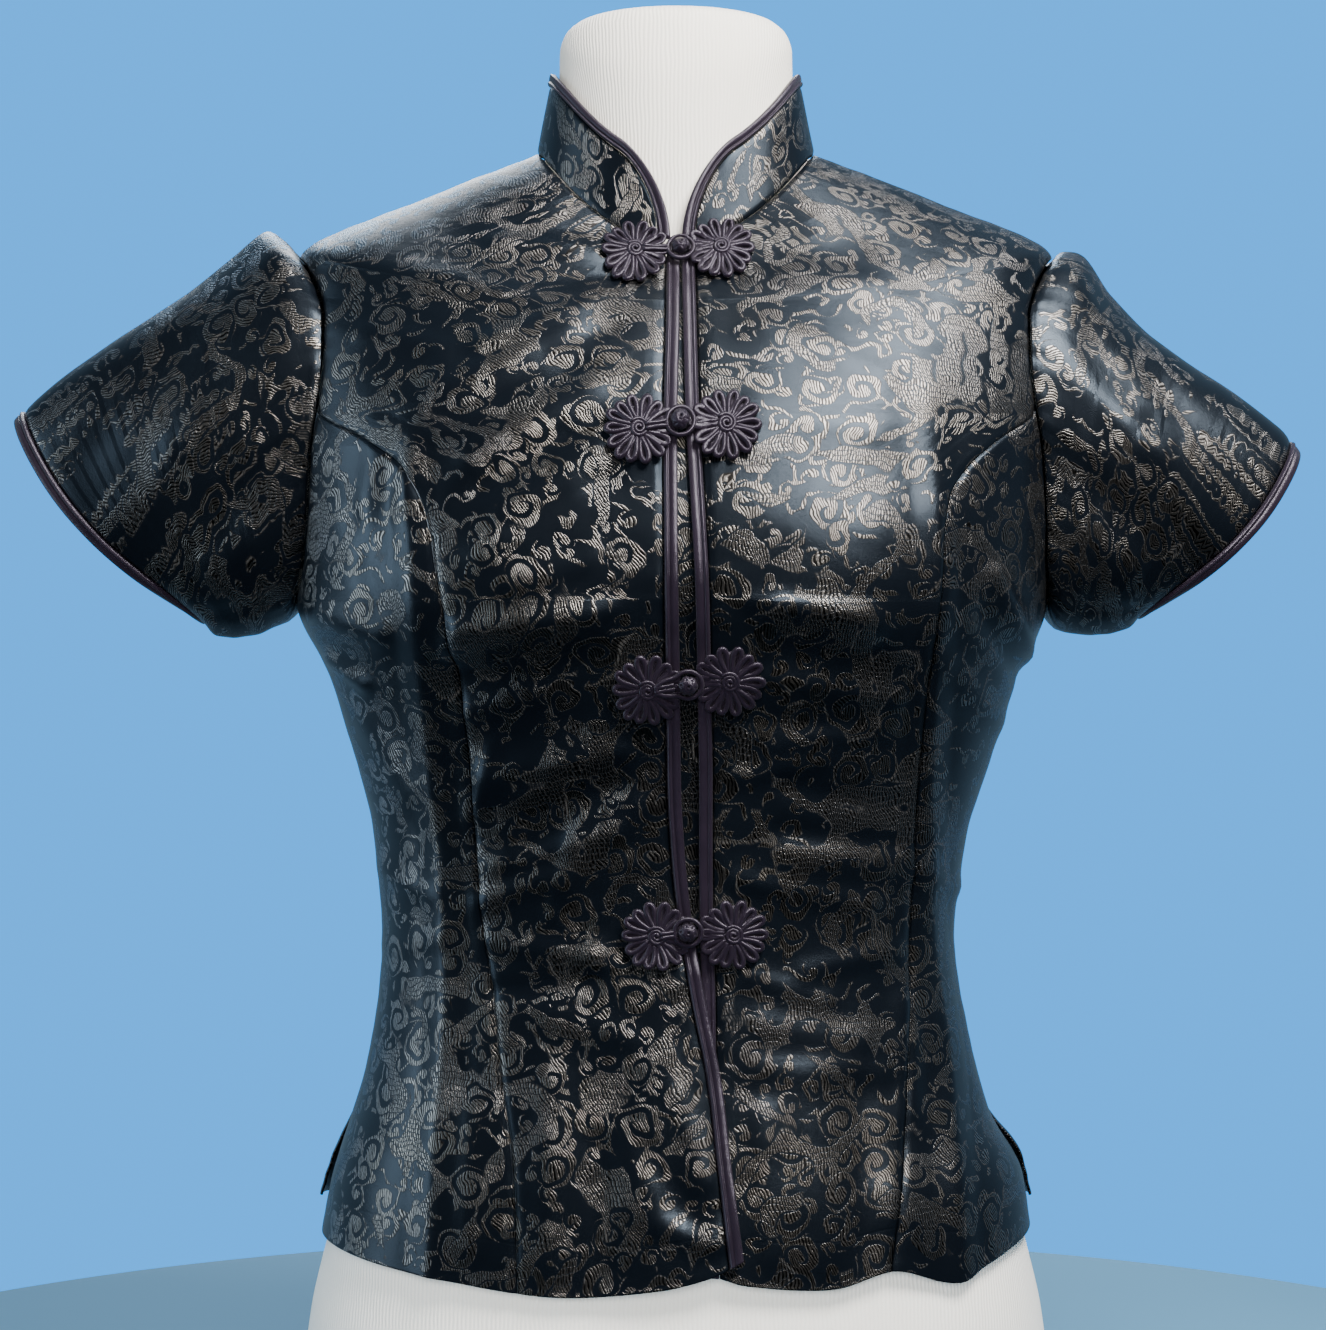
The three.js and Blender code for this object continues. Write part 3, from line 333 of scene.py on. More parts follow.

# %% [markdown]
# ## Walls of cloth
# Real cloth has two faces and a cut edge. A Solidify modifier could thicken one sheet, but at an armhole
# it leaves the edge ragged. Here both faces come from the same rows of points, and the edges close them.
# Each wall keeps its place on the bolt as a UV map in metres, so the weave has its true scale, and notes
# how far each point lies from its seams and hem, so the finish can paint shade along the seams and groove the
# hem's stitching.


# %% Meshes from rows of points
def mesh_object(name, points, faces, places, marks=None):
    mesh = bpy.data.meshes.new(name)
    mesh.from_pydata((np.asarray(points).reshape(-1, 3) * MM).tolist(), [], faces)
    layer = mesh.uv_layers.new(name="bolt")
    layer.data.foreach_set("uv", (np.asarray(places) * MM).astype(np.float32).ravel())
    for mark, values in (marks or {}).items():
        attribute = mesh.attributes.new(mark, "FLOAT", "POINT")
        attribute.data.foreach_set("value", np.asarray(values, np.float32).ravel())
    mesh.polygons.foreach_set("use_smooth", [True] * len(mesh.polygons))
    turned = bmesh.new()
    turned.from_mesh(mesh)
    bmesh.ops.recalc_face_normals(turned, faces=turned.faces)
    if turned.calc_volume(signed=True) < 0:
        bmesh.ops.reverse_faces(turned, faces=turned.faces)
    turned.to_mesh(mesh)
    turned.free()
    piece = bpy.data.objects.new(name, mesh)
    scene.collection.objects.link(piece)
    return piece


def quads(first, second, third, fourth):
    return np.stack([first, second, third, fourth], axis=-1).reshape(-1, 4)


def wall(name, outer, inner, place, marks, round_=False):
    """A closed wall of cloth from the rows of its two faces."""
    rows, columns = outer.shape[:2]
    points = np.concatenate([outer.reshape(-1, 3), inner.reshape(-1, 3)])
    spans = columns if round_ else columns - 1

    def corner(face, i, j):
        return (face * rows + i) * columns + j % columns, place[i, np.minimum(j, place.shape[1] - 1)]

    faces, places = [], []

    def add(*corners):
        made = [corner(*c) for c in corners]
        faces.append(quads(*(m[0] for m in made)))
        places.append(np.stack([m[1] for m in made], axis=-2).reshape(-1, 4, 2))

    i, j = (grid.ravel() for grid in np.meshgrid(np.arange(rows - 1), np.arange(spans), indexing="ij"))
    add((0, i, j), (0, i, j + 1), (0, i + 1, j + 1), (0, i + 1, j))
    add((1, i, j), (1, i + 1, j), (1, i + 1, j + 1), (1, i, j + 1))
    j = np.arange(spans)
    low, high = np.zeros(spans, int), np.full(spans, rows - 1)
    add((1, low, j), (1, low, j + 1), (0, low, j + 1), (0, low, j))
    add((0, high, j), (0, high, j + 1), (1, high, j + 1), (1, high, j))
    if not round_:
        i = np.arange(rows - 1)
        first, last = np.zeros(rows - 1, int), np.full(rows - 1, columns - 1)
        add((0, i, first), (0, i + 1, first), (1, i + 1, first), (1, i, first))
        add((1, i, last), (1, i + 1, last), (0, i + 1, last), (0, i, last))
    faces, places = np.concatenate(faces).tolist(), np.concatenate(places)
    both = {mark: np.concatenate([values.ravel(), values.ravel()]) for mark, values in marks.items()}
    return mesh_object(name, points, faces, places, both)


def run_along(points, axis):
    """Distance run from the first point along one axis of a grid."""
    steps = np.linalg.norm(np.diff(points, axis=axis), axis=-1)
    start = np.zeros_like(np.take(steps, [0], axis=axis))
    return np.concatenate([start, np.cumsum(steps, axis=axis)], axis=axis)


def first_guess(points):
    """Lengths across each row from the middle, and what is left of each step upwards."""
    across = run_along(points, 1)
    across = across - across[:, across.shape[1] // 2][:, None]
    step = np.linalg.norm(np.diff(points, axis=0), axis=-1)
    rise = np.sqrt(np.maximum(step**2 - np.diff(across, axis=0) ** 2, (0.3 * step) ** 2))
    return np.stack([across, np.concatenate([np.zeros_like(rise[:1]), np.cumsum(rise, axis=0)])], axis=-1)


PRESS_ROWS, PRESS_COLUMNS, PRESS_ROUNDS, PRESS_PUSH = 46, 30, 900, 1.5


def some_of(count, most):
    return np.unique(np.linspace(0, count - 1, min(most, count)).round().astype(int))


def pressed_flat(points, cut_at):
    """The panel pressed flat: a first guess is nudged until its threads have their true lengths."""
    rows, columns = some_of(points.shape[0], PRESS_ROWS), some_of(points.shape[1], PRESS_COLUMNS)
    coarse = points[np.ix_(rows, columns)]
    flat = first_guess(points)[np.ix_(rows, columns)]
    every, first, last = slice(None), slice(None, -1), slice(1, None)
    threads = [((every, first), (every, last)), ((first, every), (last, every)),
               ((first, first), (last, last)), ((first, last), (last, first))]
    lengths = [np.linalg.norm(coarse[b] - coarse[a], axis=-1) for a, b in threads]
    for _ in range(PRESS_ROUNDS):
        move, share = np.zeros_like(flat), np.zeros(flat.shape[:2])
        for (a, b), length in zip(threads, lengths):
            gap = flat[b] - flat[a]
            pull = 0.5 * gap * (1 - length / np.maximum(np.linalg.norm(gap, axis=-1), 1e-6))[..., None]
            move[a] += pull
            move[b] -= pull
            share[a] += 1
            share[b] += 1
        flat += PRESS_PUSH * move / share[..., None]
    up, across = np.arange(points.shape[0]), np.arange(points.shape[1])
    rows_full = np.stack([[np.interp(up, rows, flat[:, k, n]) for k in range(len(columns))] for n in (0, 1)])
    full = np.stack([[np.interp(across, columns, rows_full[n, :, i]) for i in up] for n in (0, 1)], axis=-1)
    return full + np.array(cut_at, float)


def grid_area(points):
    a = points[1:, :-1] - points[:-1, :-1]
    b = points[:-1, 1:] - points[:-1, :-1]
    return float(np.linalg.norm(np.cross(a, b), axis=-1).sum())


print("walls are", WALL, "mm thick")

# %% Rows and columns fine enough for the folds
FINE = 2.8  # spacing of the points on the cloth
CLOSER_ON_SHOULDER = 2.4


def levels_between(low, high, speed=1.0):
    return spread(low, high, max(2, round((high - low) * speed / FINE)))


body_levels = np.unique(np.concatenate([
    HEM + np.array([0, 0.8, 2.0]),
    levels_between(HEM + 4, LAP_FULL), levels_between(LAP_FULL, LAP_START), levels_between(LAP_START, ARMPIT),
    ARMPIT + np.array([0.6, 1.5]), levels_between(ARMPIT + 3, SHOULDER - 6),
    SHOULDER - np.array([4, 2.5, 1.2, 0.4, 0]), levels_between(SHOULDER, NECK, CLOSER_ON_SHOULDER)[1:],
]))


def columns_for(width, darts=()):
    """Shares across a panel, closer together beside its two seams and along its darts."""
    seam = np.array([0, 0.5, 1.2, 2.2]) / width
    middle = spread(3.6 / width, 1 - 3.6 / width, max(4, round(width / FINE)))
    at_darts = [share + np.array([-2.4, -1.4, -0.7, 0, 0.7, 1.4, 2.4]) / width for share in darts]
    clear = [column for column in middle if all(abs(column - share) > 3.2 / width for share in darts)]
    return np.sort(np.concatenate([seam, clear, 1 - seam, *at_darts]))


print(len(body_levels), "rows from hem to neck")

# %% [markdown]
# ## Fronts, side fronts and back
# The fronts run from the bound edge to the princess seam, which swings from the hem over the bust into
# the armhole. At each seam the two layers turn under, so the faces sink towards the stitching and pucker
# a little between stitches. The back is one piece with two waist darts, the plain way to finish a side
# that isn't seen from the front.


# %% Seam lines
def armhole_phi(face, way, level):
    half, square = (along(blouse_rings, "level", name, level) for name in ("half", "square"))
    share = np.clip(along(armhole, "level", face, level) / half, 0, 1)
    angle = np.arcsin(share ** (square / 2))
    return way * (angle if face == "front" else np.pi - angle)


def side_line(face, way, level):
    seam_forward = np.radians(4) * np.clip((level - SHOULDER) / (NECK - SHOULDER), 0, 1)
    line = np.where(level <= ARMPIT, way * np.pi / 2, armhole_phi(face, way, level))
    return np.where(level > SHOULDER, way * (np.pi / 2 - seam_forward), line)


def princess_phi(name, way, level):
    seam = phi_at(along(front_lines, "level", name, level), level)
    below_end = 1 - ease(PRINCESS_END, PRINCESS_END + 3, level)
    tip = armhole_phi("front", way, level) - way * PRINCESS_TIP * below_end
    seam = np.where(way * seam > way * tip, tip, seam)
    seam = np.where(level >= PRINCESS_END, tip, seam)
    return np.where(level > SHOULDER, side_line("front", way, level), seam)


def edge_phi(name, away, level):
    return phi_at(along(front_lines, "level", name, level) + away, level)


def inset(phi, level, towards, gap):
    step = 0.01
    speed = np.linalg.norm(body(phi + step, level) - body(phi - step, level), axis=-1) / (2 * step)
    return phi + towards * gap / speed


print("armhole", round(2 * float(along(armhole, "level", "front", 550.0))), "mm apart across the chest")


# %% Panels
SEAM_GAP = 0.3
SEAM_DIP, SEAM_WIDTH = 0.75, 2.2
PUCKER, PUCKER_REACH = 0.2, 9
DART_LOW, DART_HIGH, DART_DIP, DART_PUCKER = 168, 402, 0.9, 0.15


def dart_there(level):
    """1 along a waist dart's stitching, easing to 0 at its two points."""
    return ease(DART_LOW, DART_LOW + 6, level) * (1 - ease(DART_HIGH - 6, DART_HIGH, level))


def seam_shape(run, rest, up):
    """How a panel sinks into its seams and puckers beside them; run and rest are to its two seams."""
    dip = np.exp(-((run / SEAM_WIDTH) ** 2)) + np.exp(-((rest / SEAM_WIDTH) ** 2))
    near = np.exp(-run / PUCKER_REACH) + np.exp(-rest / PUCKER_REACH)
    wave = np.sin(up / 2.1 + 1.7 * np.sin(up / 13)) * np.sin(up / 31 + 0.8)
    return -SEAM_DIP * dip + PUCKER * near * wave


def measured(piece, flat, face):
    """Notes a piece's flat size in metres and the area of its face in square metres."""
    piece["flat"] = [float(size) * MM for size in flat]
    piece["area"] = grid_area(face) * MM * MM
    print(piece.name, "cut", np.round(piece["flat"], 3).tolist(), "m, area", round(piece["area"], 4))
    return piece


def panel(name, piece, levels, start, end, cut_at, darts=()):
    """A stretch of the blouse between two lines, start and end (phi at each level)."""
    start = inset(start, levels, 1, SEAM_GAP / 2)
    end = inset(end, levels, -1, SEAM_GAP / 2)
    across = np.diff(body(np.linspace(start, end, 40), levels), axis=0)
    width = np.median(np.linalg.norm(across, axis=-1).sum(0))
    shares = columns_for(width, darts)[None, :]
    phi = start[:, None] + (end - start)[:, None] * shares
    level = np.broadcast_to(levels[:, None], phi.shape)
    flat = body(phi, level)
    run, up = run_along(flat, 1), run_along(flat, 0)
    rest = run[:, -1:] - run
    shape, from_seam = seam_shape(run, rest, up), np.minimum(run, rest)
    for share in darts:
        away = np.abs(run - run[:, -1:] * share) + 30 * (1 - dart_there(level))
        pucker = DART_PUCKER * np.exp(-away / 7) * np.sin(up / 2)
        shape = shape - DART_DIP * np.exp(-((away / SEAM_WIDTH) ** 2)) + pucker
        from_seam = np.minimum(from_seam, away)
    outer, inner = cloth(piece, phi, level, shape), cloth(piece, phi, level, shape - WALL)
    places = pressed_flat(flat, cut_at)
    made = wall(name, outer, inner, places, {"from_seam": from_seam * MM, "from_hem": up * MM})
    return measured(made, np.ptp(places, axis=(0, 1)), outer)


side_levels = np.append(body_levels[body_levels < PRINCESS_END - 1], PRINCESS_END)

front_right = panel("front_right_cloth", "right", body_levels,
                    princess_phi("seam_right", -1, body_levels),
                    edge_phi("edge_right", -TO_BINDING, body_levels), (0, 0))
front_left = panel("front_left_cloth", "left", body_levels,
                   edge_phi("edge_left", TO_BINDING, body_levels), princess_phi("seam_left", 1, body_levels),
                   (310, 57))
side_front_right = panel("side_front_right_cloth", "right", side_levels,
                         side_line("front", -1, side_levels), princess_phi("seam_right", -1, side_levels),
                         (620, 21))
side_front_left = panel("side_front_left_cloth", "left", side_levels,
                        princess_phi("seam_left", 1, side_levels), side_line("front", 1, side_levels),
                        (830, 74))
back = panel("back_cloth", "back", body_levels,
             side_line("back", 1, body_levels), 2 * np.pi + side_line("back", -1, body_levels),
             (1300, 40), darts=(0.31, 0.69))

# %% The underlap behind the opening
UNDERLAP_OUT, UNDERLAP_THICK = -WALL - 0.8, 1.0
UNDERLAP_FOOT, UNDERLAP_TOP = HEM + 17, 648
UNDERLAP_REACH, UNDERLAP_BEHIND = 24, 14  # towards the other front, and behind its own
underlap_levels = body_levels[(body_levels > UNDERLAP_FOOT) & (body_levels < UNDERLAP_TOP)]
edge = along(front_lines, "level", "edge_left", underlap_levels)
underlap_across = np.linspace(-UNDERLAP_REACH, UNDERLAP_BEHIND, 14)
underlap_phi = phi_at(edge[:, None] + underlap_across[None, :], underlap_levels[:, None])
underlap_face = cloth("left", underlap_phi, underlap_levels[:, None], UNDERLAP_OUT)
underlap_back = cloth("left", underlap_phi, underlap_levels[:, None], UNDERLAP_OUT - UNDERLAP_THICK)
far = np.full(underlap_phi.shape, 0.02)
underlap = wall("underlap_cloth", underlap_face, underlap_back, first_guess(underlap_face),
                {"from_seam": far, "from_hem": far + 0.1})
measured(underlap, (UNDERLAP_REACH + UNDERLAP_BEHIND, run_along(underlap_face, 0).max()), underlap_face)

# %% [markdown]
# ## Bindings
# A bias strip of satin is sewn face down, turned over the raw edge and topstitched, which leaves a flat
# band with one narrow raised cord beside the cloth. A bevelled curve could follow the edge, but a section
# swept along the very points of the edge keeps the band lying on the cloth through every fold.

# %% The binding's section
binding_section = np.array([
    (0.00, -WALL), (0.00, 0.30), (0.04, 0.75), (0.10, 0.95), (0.30, 1.05), (0.52, 1.00), (0.58, 0.55),
    (0.62, 0.45), (0.66, 0.60), (0.71, 1.15), (0.79, 1.35), (0.87, 1.15), (0.93, 0.55), (1.00, 0.15),
    (1.00, -WALL),
])
section_share, section_out = binding_section[:, 0], binding_section[:, 1]


def bar_faces(stations, closed, base=0):
    """Faces and places of a bar through stations of the same section."""
    count, sides = stations.shape[:2]
    girth = run_along(np.concatenate([stations, stations[:, :1]], axis=1), 1)
    girth = girth - girth[:, -1:] / 2
    run = run_along(stations, 0).mean(axis=1)
    run = np.append(run, run[-1] + np.linalg.norm(stations[0] - stations[-1], axis=-1).mean())
    i, j = (grid.ravel() for grid in np.meshgrid(
        np.arange(count if closed else count - 1), np.arange(sides), indexing="ij"))
    corners = [(i, j), (i, j + 1), (i + 1, j + 1), (i + 1, j)]
    faces = quads(*(base + (a % count) * sides + b % sides for a, b in corners)).tolist()
    places = [np.stack([girth[a % count, b], run[a]], axis=-1) for a, b in corners]
    places = np.stack(places, axis=-2).reshape(-1, 2).tolist()
    if not closed:
        for end in (0, count - 1):
            faces.append([base + end * sides + k for k in range(sides)])
            places += [(0.0, float(run[end]))] * sides
    return faces, places


def swept(name, stations, closed=False):
    """A bar through stations of the same section."""
    return mesh_object(name, stations, *bar_faces(stations, closed))


def front_binding(name, piece, line, inward):
    edge = along(front_lines, "level", line, body_levels)[:, None] + inward * section_share[None, :] * BINDING
    phi = phi_at(edge, body_levels[:, None])
    return swept(name, cloth(piece, phi, body_levels[:, None], np.broadcast_to(section_out, phi.shape)))


front_binding_right = front_binding("front_binding_right_satin", "right", "edge_right", -1)
front_binding_left = front_binding("front_binding_left_satin", "left", "edge_left", 1)
print("front bindings have", len(front_binding_right.data.polygons), "faces each")

# %% [markdown]
# ## The collar
# A standing collar is a nearly straight band, a little shorter at its top than along the neckline, so it
# leans in towards the neck. Its front corners are cut to a quarter ellipse and bound in one sweep.

# %% The collar's surface
collar_rings = table("level half shift fore aft mid front back square", [
    (NECK, 70, 0, 57, 58, 13, -52, 7, 2), (COLLAR_TOP, 62, 0, 51, 53, 11, -49, 9, 2)])


def collar_surface(phi, height):
    share = np.asarray(height, float) / COLLAR_HEIGHT
    low, high = (ring_point(collar_rings, phi, np.full_like(share, level)) for level in (NECK, COLLAR_TOP))
    return low * (1 - share)[..., None] + high * share[..., None]


def collar_normal(phi, height):
    return normal_of(collar_surface, phi, height, 0.03, 2)


neck_phi = np.linspace(float(phi_at(2.6, NECK)), 2 * math.pi + float(phi_at(-2.8, NECK)), 400)
neck_run = run_along(body(neck_phi, np.full(400, float(NECK)))[None], 1)[0]
NECKLINE = float(neck_run[-1])


def collar_at(run, height, out):
    run, height, out = np.broadcast_arrays(run, height, out)
    phi = np.interp(run, neck_run, neck_phi)
    wave = 0.5 * np.sin(run / 23 + 0.6) * (height / COLLAR_HEIGHT)
    stand = wave + 0.12 * np.sin(run / 6.1) * np.sin(height / 8)
    return collar_surface(phi, height) + collar_normal(phi, height) * (out + stand)[..., None]


def collar_edge(inset_by, first_angle, steps):
    """Points along the collar's edge: round one corner, along the top and round the other."""
    reach, rise = COLLAR_CORNER - inset_by, COLLAR_HEIGHT - inset_by
    angle = np.linspace(math.radians(first_angle), math.pi / 2, steps)
    corner_run, corner_height = COLLAR_CORNER - reach * np.cos(angle), rise * np.sin(angle)
    top = np.linspace(COLLAR_CORNER, NECKLINE - COLLAR_CORNER, 5 * steps)[1:-1]
    run = np.concatenate([corner_run, top, NECKLINE - corner_run[::-1]])
    return run, np.concatenate([corner_height, np.full(len(top), rise), corner_height[::-1]])


edge_run, edge_height = collar_edge(TO_BINDING, 16, 26)
shares = np.concatenate([[0, 0.012, 0.03, 0.06], np.linspace(0.1, 0.94, 14), [0.97, 1]])[:, None]
collar_height = 0.3 + (edge_height[None, :] - 0.3) * shares
collar_run = np.broadcast_to(edge_run[None, :], collar_height.shape)
collar_dip = -0.8 * np.exp(-((collar_height / 1.6) ** 2)) - 0.5 * np.exp(-((1 - shares) * 40 / 1.5) ** 2)
collar_face = collar_at(collar_run, collar_height, collar_dip)
collar = wall("collar_cloth", collar_face, collar_at(collar_run, collar_height, collar_dip - WALL),
              np.stack([collar_run, collar_height], axis=-1),
              {"from_seam": np.minimum(collar_height, edge_height - collar_height) * MM,
               "from_hem": np.full(collar_height.shape, 0.2)})
measured(collar, (NECKLINE, COLLAR_HEIGHT - BINDING), collar_face)

outer_run, outer_height = collar_edge(0, 2, 30)
inner_run, inner_height = collar_edge(BINDING, 2, 30)
binding_run = outer_run[:, None] + (inner_run - outer_run)[:, None] * section_share
binding_height = outer_height[:, None] + (inner_height - outer_height)[:, None] * section_share
binding_height = np.maximum(binding_height, 0.7)  # clear of the neckline seam
collar_binding = swept("collar_binding_satin", collar_at(binding_run, binding_height, section_out[None, :]))
print("collar", round(NECKLINE), "mm long and", COLLAR_HEIGHT, "mm high")

# %% [markdown]
# ## Sleeves
# A set-in sleeve has more cloth at its head than the armhole it is sewn into, so it rises in a soft
# swell before it falls. These are short and cut wide at the cuff, and hang flattened, front against back.
# The surface runs from the armhole to the cuff, with the swell, the sag under the arm and small tucks.

# %% The sleeve's surface
sleeves = {
    "right": dict(way=-1, top=(-331, 522), foot=(-240, 425), half=29, mid=4, bow=11, cut_at=(1700, 130)),
    "left": dict(way=1, top=(312, 506), foot=(236, 427), half=31, mid=4, bow=9, cut_at=(2200, 130)),
}
sleeve_lines = table("t top_right under_right top_left under_left", [
    (0, 0, 0, 0, 0), (0.05, 12, -4, 8, -7), (0.13, 23, -8, 13, -12), (0.24, 19, -9.5, 4, -13),
    (0.4, 15, -12, 0.5, -13), (0.58, 13, -12.5, 2, -12), (0.77, 10, -11, 5, -9), (0.92, 5, -4, 5, -3),
    (1, 0, 0, 0, 0),
])
sleeve_folds = table("turn_from t_from turn_to t_to height width", [
    (60, 0.02, 75, 0.5, 2.0, 0.10), (95, 0.0, 110, 0.45, -1.4, 0.09), (120, 0.02, 128, 0.55, 1.8, 0.09),
    (150, 0.05, 150, 0.7, -1.6, 0.08), (20, 0.0, 40, 0.35, 1.5, 0.09), (35, 0.3, 62, 0.85, -1.2, 0.10),
    (78, 0.5, 100, 0.95, 1.2, 0.11), (-60, 0.02, -72, 0.5, 1.8, 0.10), (-95, 0.0, -112, 0.5, -1.4, 0.09),
    (-125, 0.05, -132, 0.6, 1.6, 0.09), (-30, 0.1, -50, 0.7, 1.2, 0.11), (170, 0.1, 172, 0.8, 1.6, 0.08),
])
SLEEVE_FULLNESS, TUCK, TUCKS, TUCK_SPREAD = 6, 1.6, 9, 55


def armhole_loop(way):
    share = (1 - np.cos(np.pi * spread(0, 1, 90))) / 2
    level = SHOULDER + (ARMPIT - SHOULDER) * share
    halves = []
    for face in ("front", "back"):
        points = cloth("right" if way < 0 else "left", armhole_phi(face, way, level), level)
        run = run_along(points[None], 1)[0]
        turn = np.pi * run / run[-1]
        halves.append((turn if face == "front" else 2 * np.pi - turn, points))
    return tuple(np.concatenate([front, back[::-1][1:]]) for front, back in zip(*halves))


loops = {side: armhole_loop(cut["way"]) for side, cut in sleeves.items()}


def from_top(turn):
    """The turn round a sleeve measured from its top, forwards above 0 and backwards below it."""
    turn = turn % (2 * np.pi)
    return np.where(turn > np.pi, turn - 2 * np.pi, turn)


def cuff_point(cut, turn):
    upper, foot = (np.array([x, cut["mid"], z], float) for x, z in (cut["top"], cut["foot"]))
    half = (upper - foot) / 2
    outward = unit(np.array([-half[2], 0, half[0]]))
    outward = outward * (1 if np.sign(outward[0]) == cut["way"] else -1)
    return ((upper + foot) / 2 + half * np.cos(turn)[..., None]
            + np.array([0, -cut["half"], 0]) * np.sin(turn)[..., None]
            + outward * (cut["bow"] * np.sin(turn) ** 2)[..., None])


def sleeve_surface(side, turn, t):
    cut = sleeves[side]
    turn, t = np.broadcast_arrays(np.asarray(turn, float) % (2 * np.pi), np.asarray(t, float))
    loop_turn, loop_points = loops[side]
    start = np.stack([np.interp(turn, loop_turn, loop_points[:, k]) for k in range(3)], axis=-1)
    point = start * (1 - t)[..., None] + cuff_point(cut, turn) * t[..., None]
    upper, under = np.clip(np.cos(turn), 0, 1) ** 1.5, np.clip(-np.cos(turn), 0, 1) ** 2
    top_line, under_line = (along(sleeve_lines, "t", line + side, t) for line in ("top_", "under_"))
    rise = upper * top_line + under * under_line
    near_head = np.clip(1 - np.abs(from_top(turn)) / np.radians(TUCK_SPREAD), 0, 1)
    tuck = TUCK * near_head * np.sin(np.pi * np.clip(t / 0.4, 0, 1)) * np.cos(turn * TUCKS)
    point[..., 2] += rise + tuck
    point[..., 1] -= SLEEVE_FULLNESS * np.sin(turn) * np.sin(np.pi * t)
    return point


def sleeve_relief(turn, t):
    degrees = np.degrees(from_top(turn))
    out = 0.18 * np.sin(degrees / 7 + 3 * np.sin(t * 5)) * np.sin(t * 19 + 1)
    for turn_from, t_from, turn_to, t_to, height, width in zip(*sleeve_folds.values()):
        run, rise = (turn_to - turn_from) / 90, t_to - t_from
        done = ((degrees - turn_from) / 90 * run + (t - t_from) * rise) / (run**2 + rise**2)
        done = np.clip(done, 0, 1)
        away = np.hypot((degrees - turn_from) / 90 - done * run, t - t_from - done * rise)
        out = out + height * np.exp(-((away / width) ** 2)) * np.sin(np.pi * np.clip(t, 0.02, 0.98)) ** 0.5
    return out


def sleeve_at(side, turn, t, out):
    turn, t, out = np.broadcast_arrays(turn, t, out)
    step = 0.02
    across_turn = sleeve_surface(side, turn + 0.05, t) - sleeve_surface(side, turn - 0.05, t)
    nearer, further = np.maximum(t - step, 0), np.minimum(t + step, 1)
    across_t = sleeve_surface(side, turn, further) - sleeve_surface(side, turn, nearer)
    normal = unit(np.cross(across_turn, across_t)) * sleeves[side]["way"]
    return sleeve_surface(side, turn, t) + normal * (out + sleeve_relief(turn, t))[..., None]


def cuff_share(side, turn, distance):
    length = np.linalg.norm(sleeve_surface(side, turn, 1.0) - sleeve_surface(side, turn, 0.9), axis=-1) / 0.1
    return 1 - distance / length


print("a sleeve's top line is", round(float(np.linalg.norm(
    sleeve_surface("right", 0.0, 1.0) - sleeve_surface("right", 0.0, 0.0)))), "mm long")

# %% Sleeves and their bound cuffs
ROUND = 190
HEAD = 0.004  # share of the sleeve's length left for the seam at its head
turns = np.linspace(np.pi, 3 * np.pi, ROUND, endpoint=False)  # from the seam under the arm
steps_along = np.concatenate([[HEAD, 0.01, 0.02, 0.035], np.linspace(0.05, 1, 64)])


def sleeve_cloth(side):
    end = cuff_share(side, turns, TO_BINDING)
    t = HEAD + (steps_along[:, None] - HEAD) * (end[None, :] - HEAD) / (1 - HEAD)
    turn = np.broadcast_to(turns[None, :], t.shape)
    flat = sleeve_at(side, turn, t, 0.0)
    run = run_along(flat, 0)
    dip = -0.7 * np.exp(-((run / 1.8) ** 2)) - 0.5 * np.exp(-(((run[-1:] - run) / 1.8) ** 2))
    dip = dip + 0.3 * np.exp(-run / 10) * np.sin(turn * 46 + 2 * np.sin(turn * 7))
    outer = sleeve_at(side, turn, t, dip)
    closed = np.concatenate([flat, flat[:, :1]], axis=1)
    places = pressed_flat(closed, sleeves[side]["cut_at"])
    made = wall(f"sleeve_{side}_cloth", outer, sleeve_at(side, turn, t, dip - WALL), places,
                {"from_seam": np.minimum(run, run[-1:] - run) * MM, "from_hem": np.full(t.shape, 0.2)},
                round_=True)
    return measured(made, np.ptp(places, axis=(0, 1)), closed)


def cuff_binding(side):
    t = cuff_share(side, turns[:, None], section_share[None, :] * BINDING)
    stations = sleeve_at(side, turns[:, None], t, section_out[None, :])
    return swept(f"cuff_binding_{side}_satin", stations, closed=True)


sleeve_pieces = {side: sleeve_cloth(side) for side in sleeves}
cuff_bindings = {side: cuff_binding(side) for side in sleeves}
print("a cuff's binding has", len(cuff_bindings["right"].data.polygons), "faces")

# %% [markdown]
# ## Frogs
# Each flower is one satin cord folded into fourteen petals and coiled at its heart, stitched down flat.
# The left one ends in a loop and the right one in a knot button, which the loop holds. They are made
# flat, as on a table, and then every point is carried to the front of the blouse.

# %% Laying things on the front
FLOWER, PETALS, FLOWER_BASE, FLOWER_TILT = 16.5, 14, 0.7, 1.3
KNOT, KNOT_LOW, KNOT_HIGH = 4.6, 2.6, 9.0
LOOP, LOOP_CORD, LOOP_OUT = 6.3, 1.1, 4.1


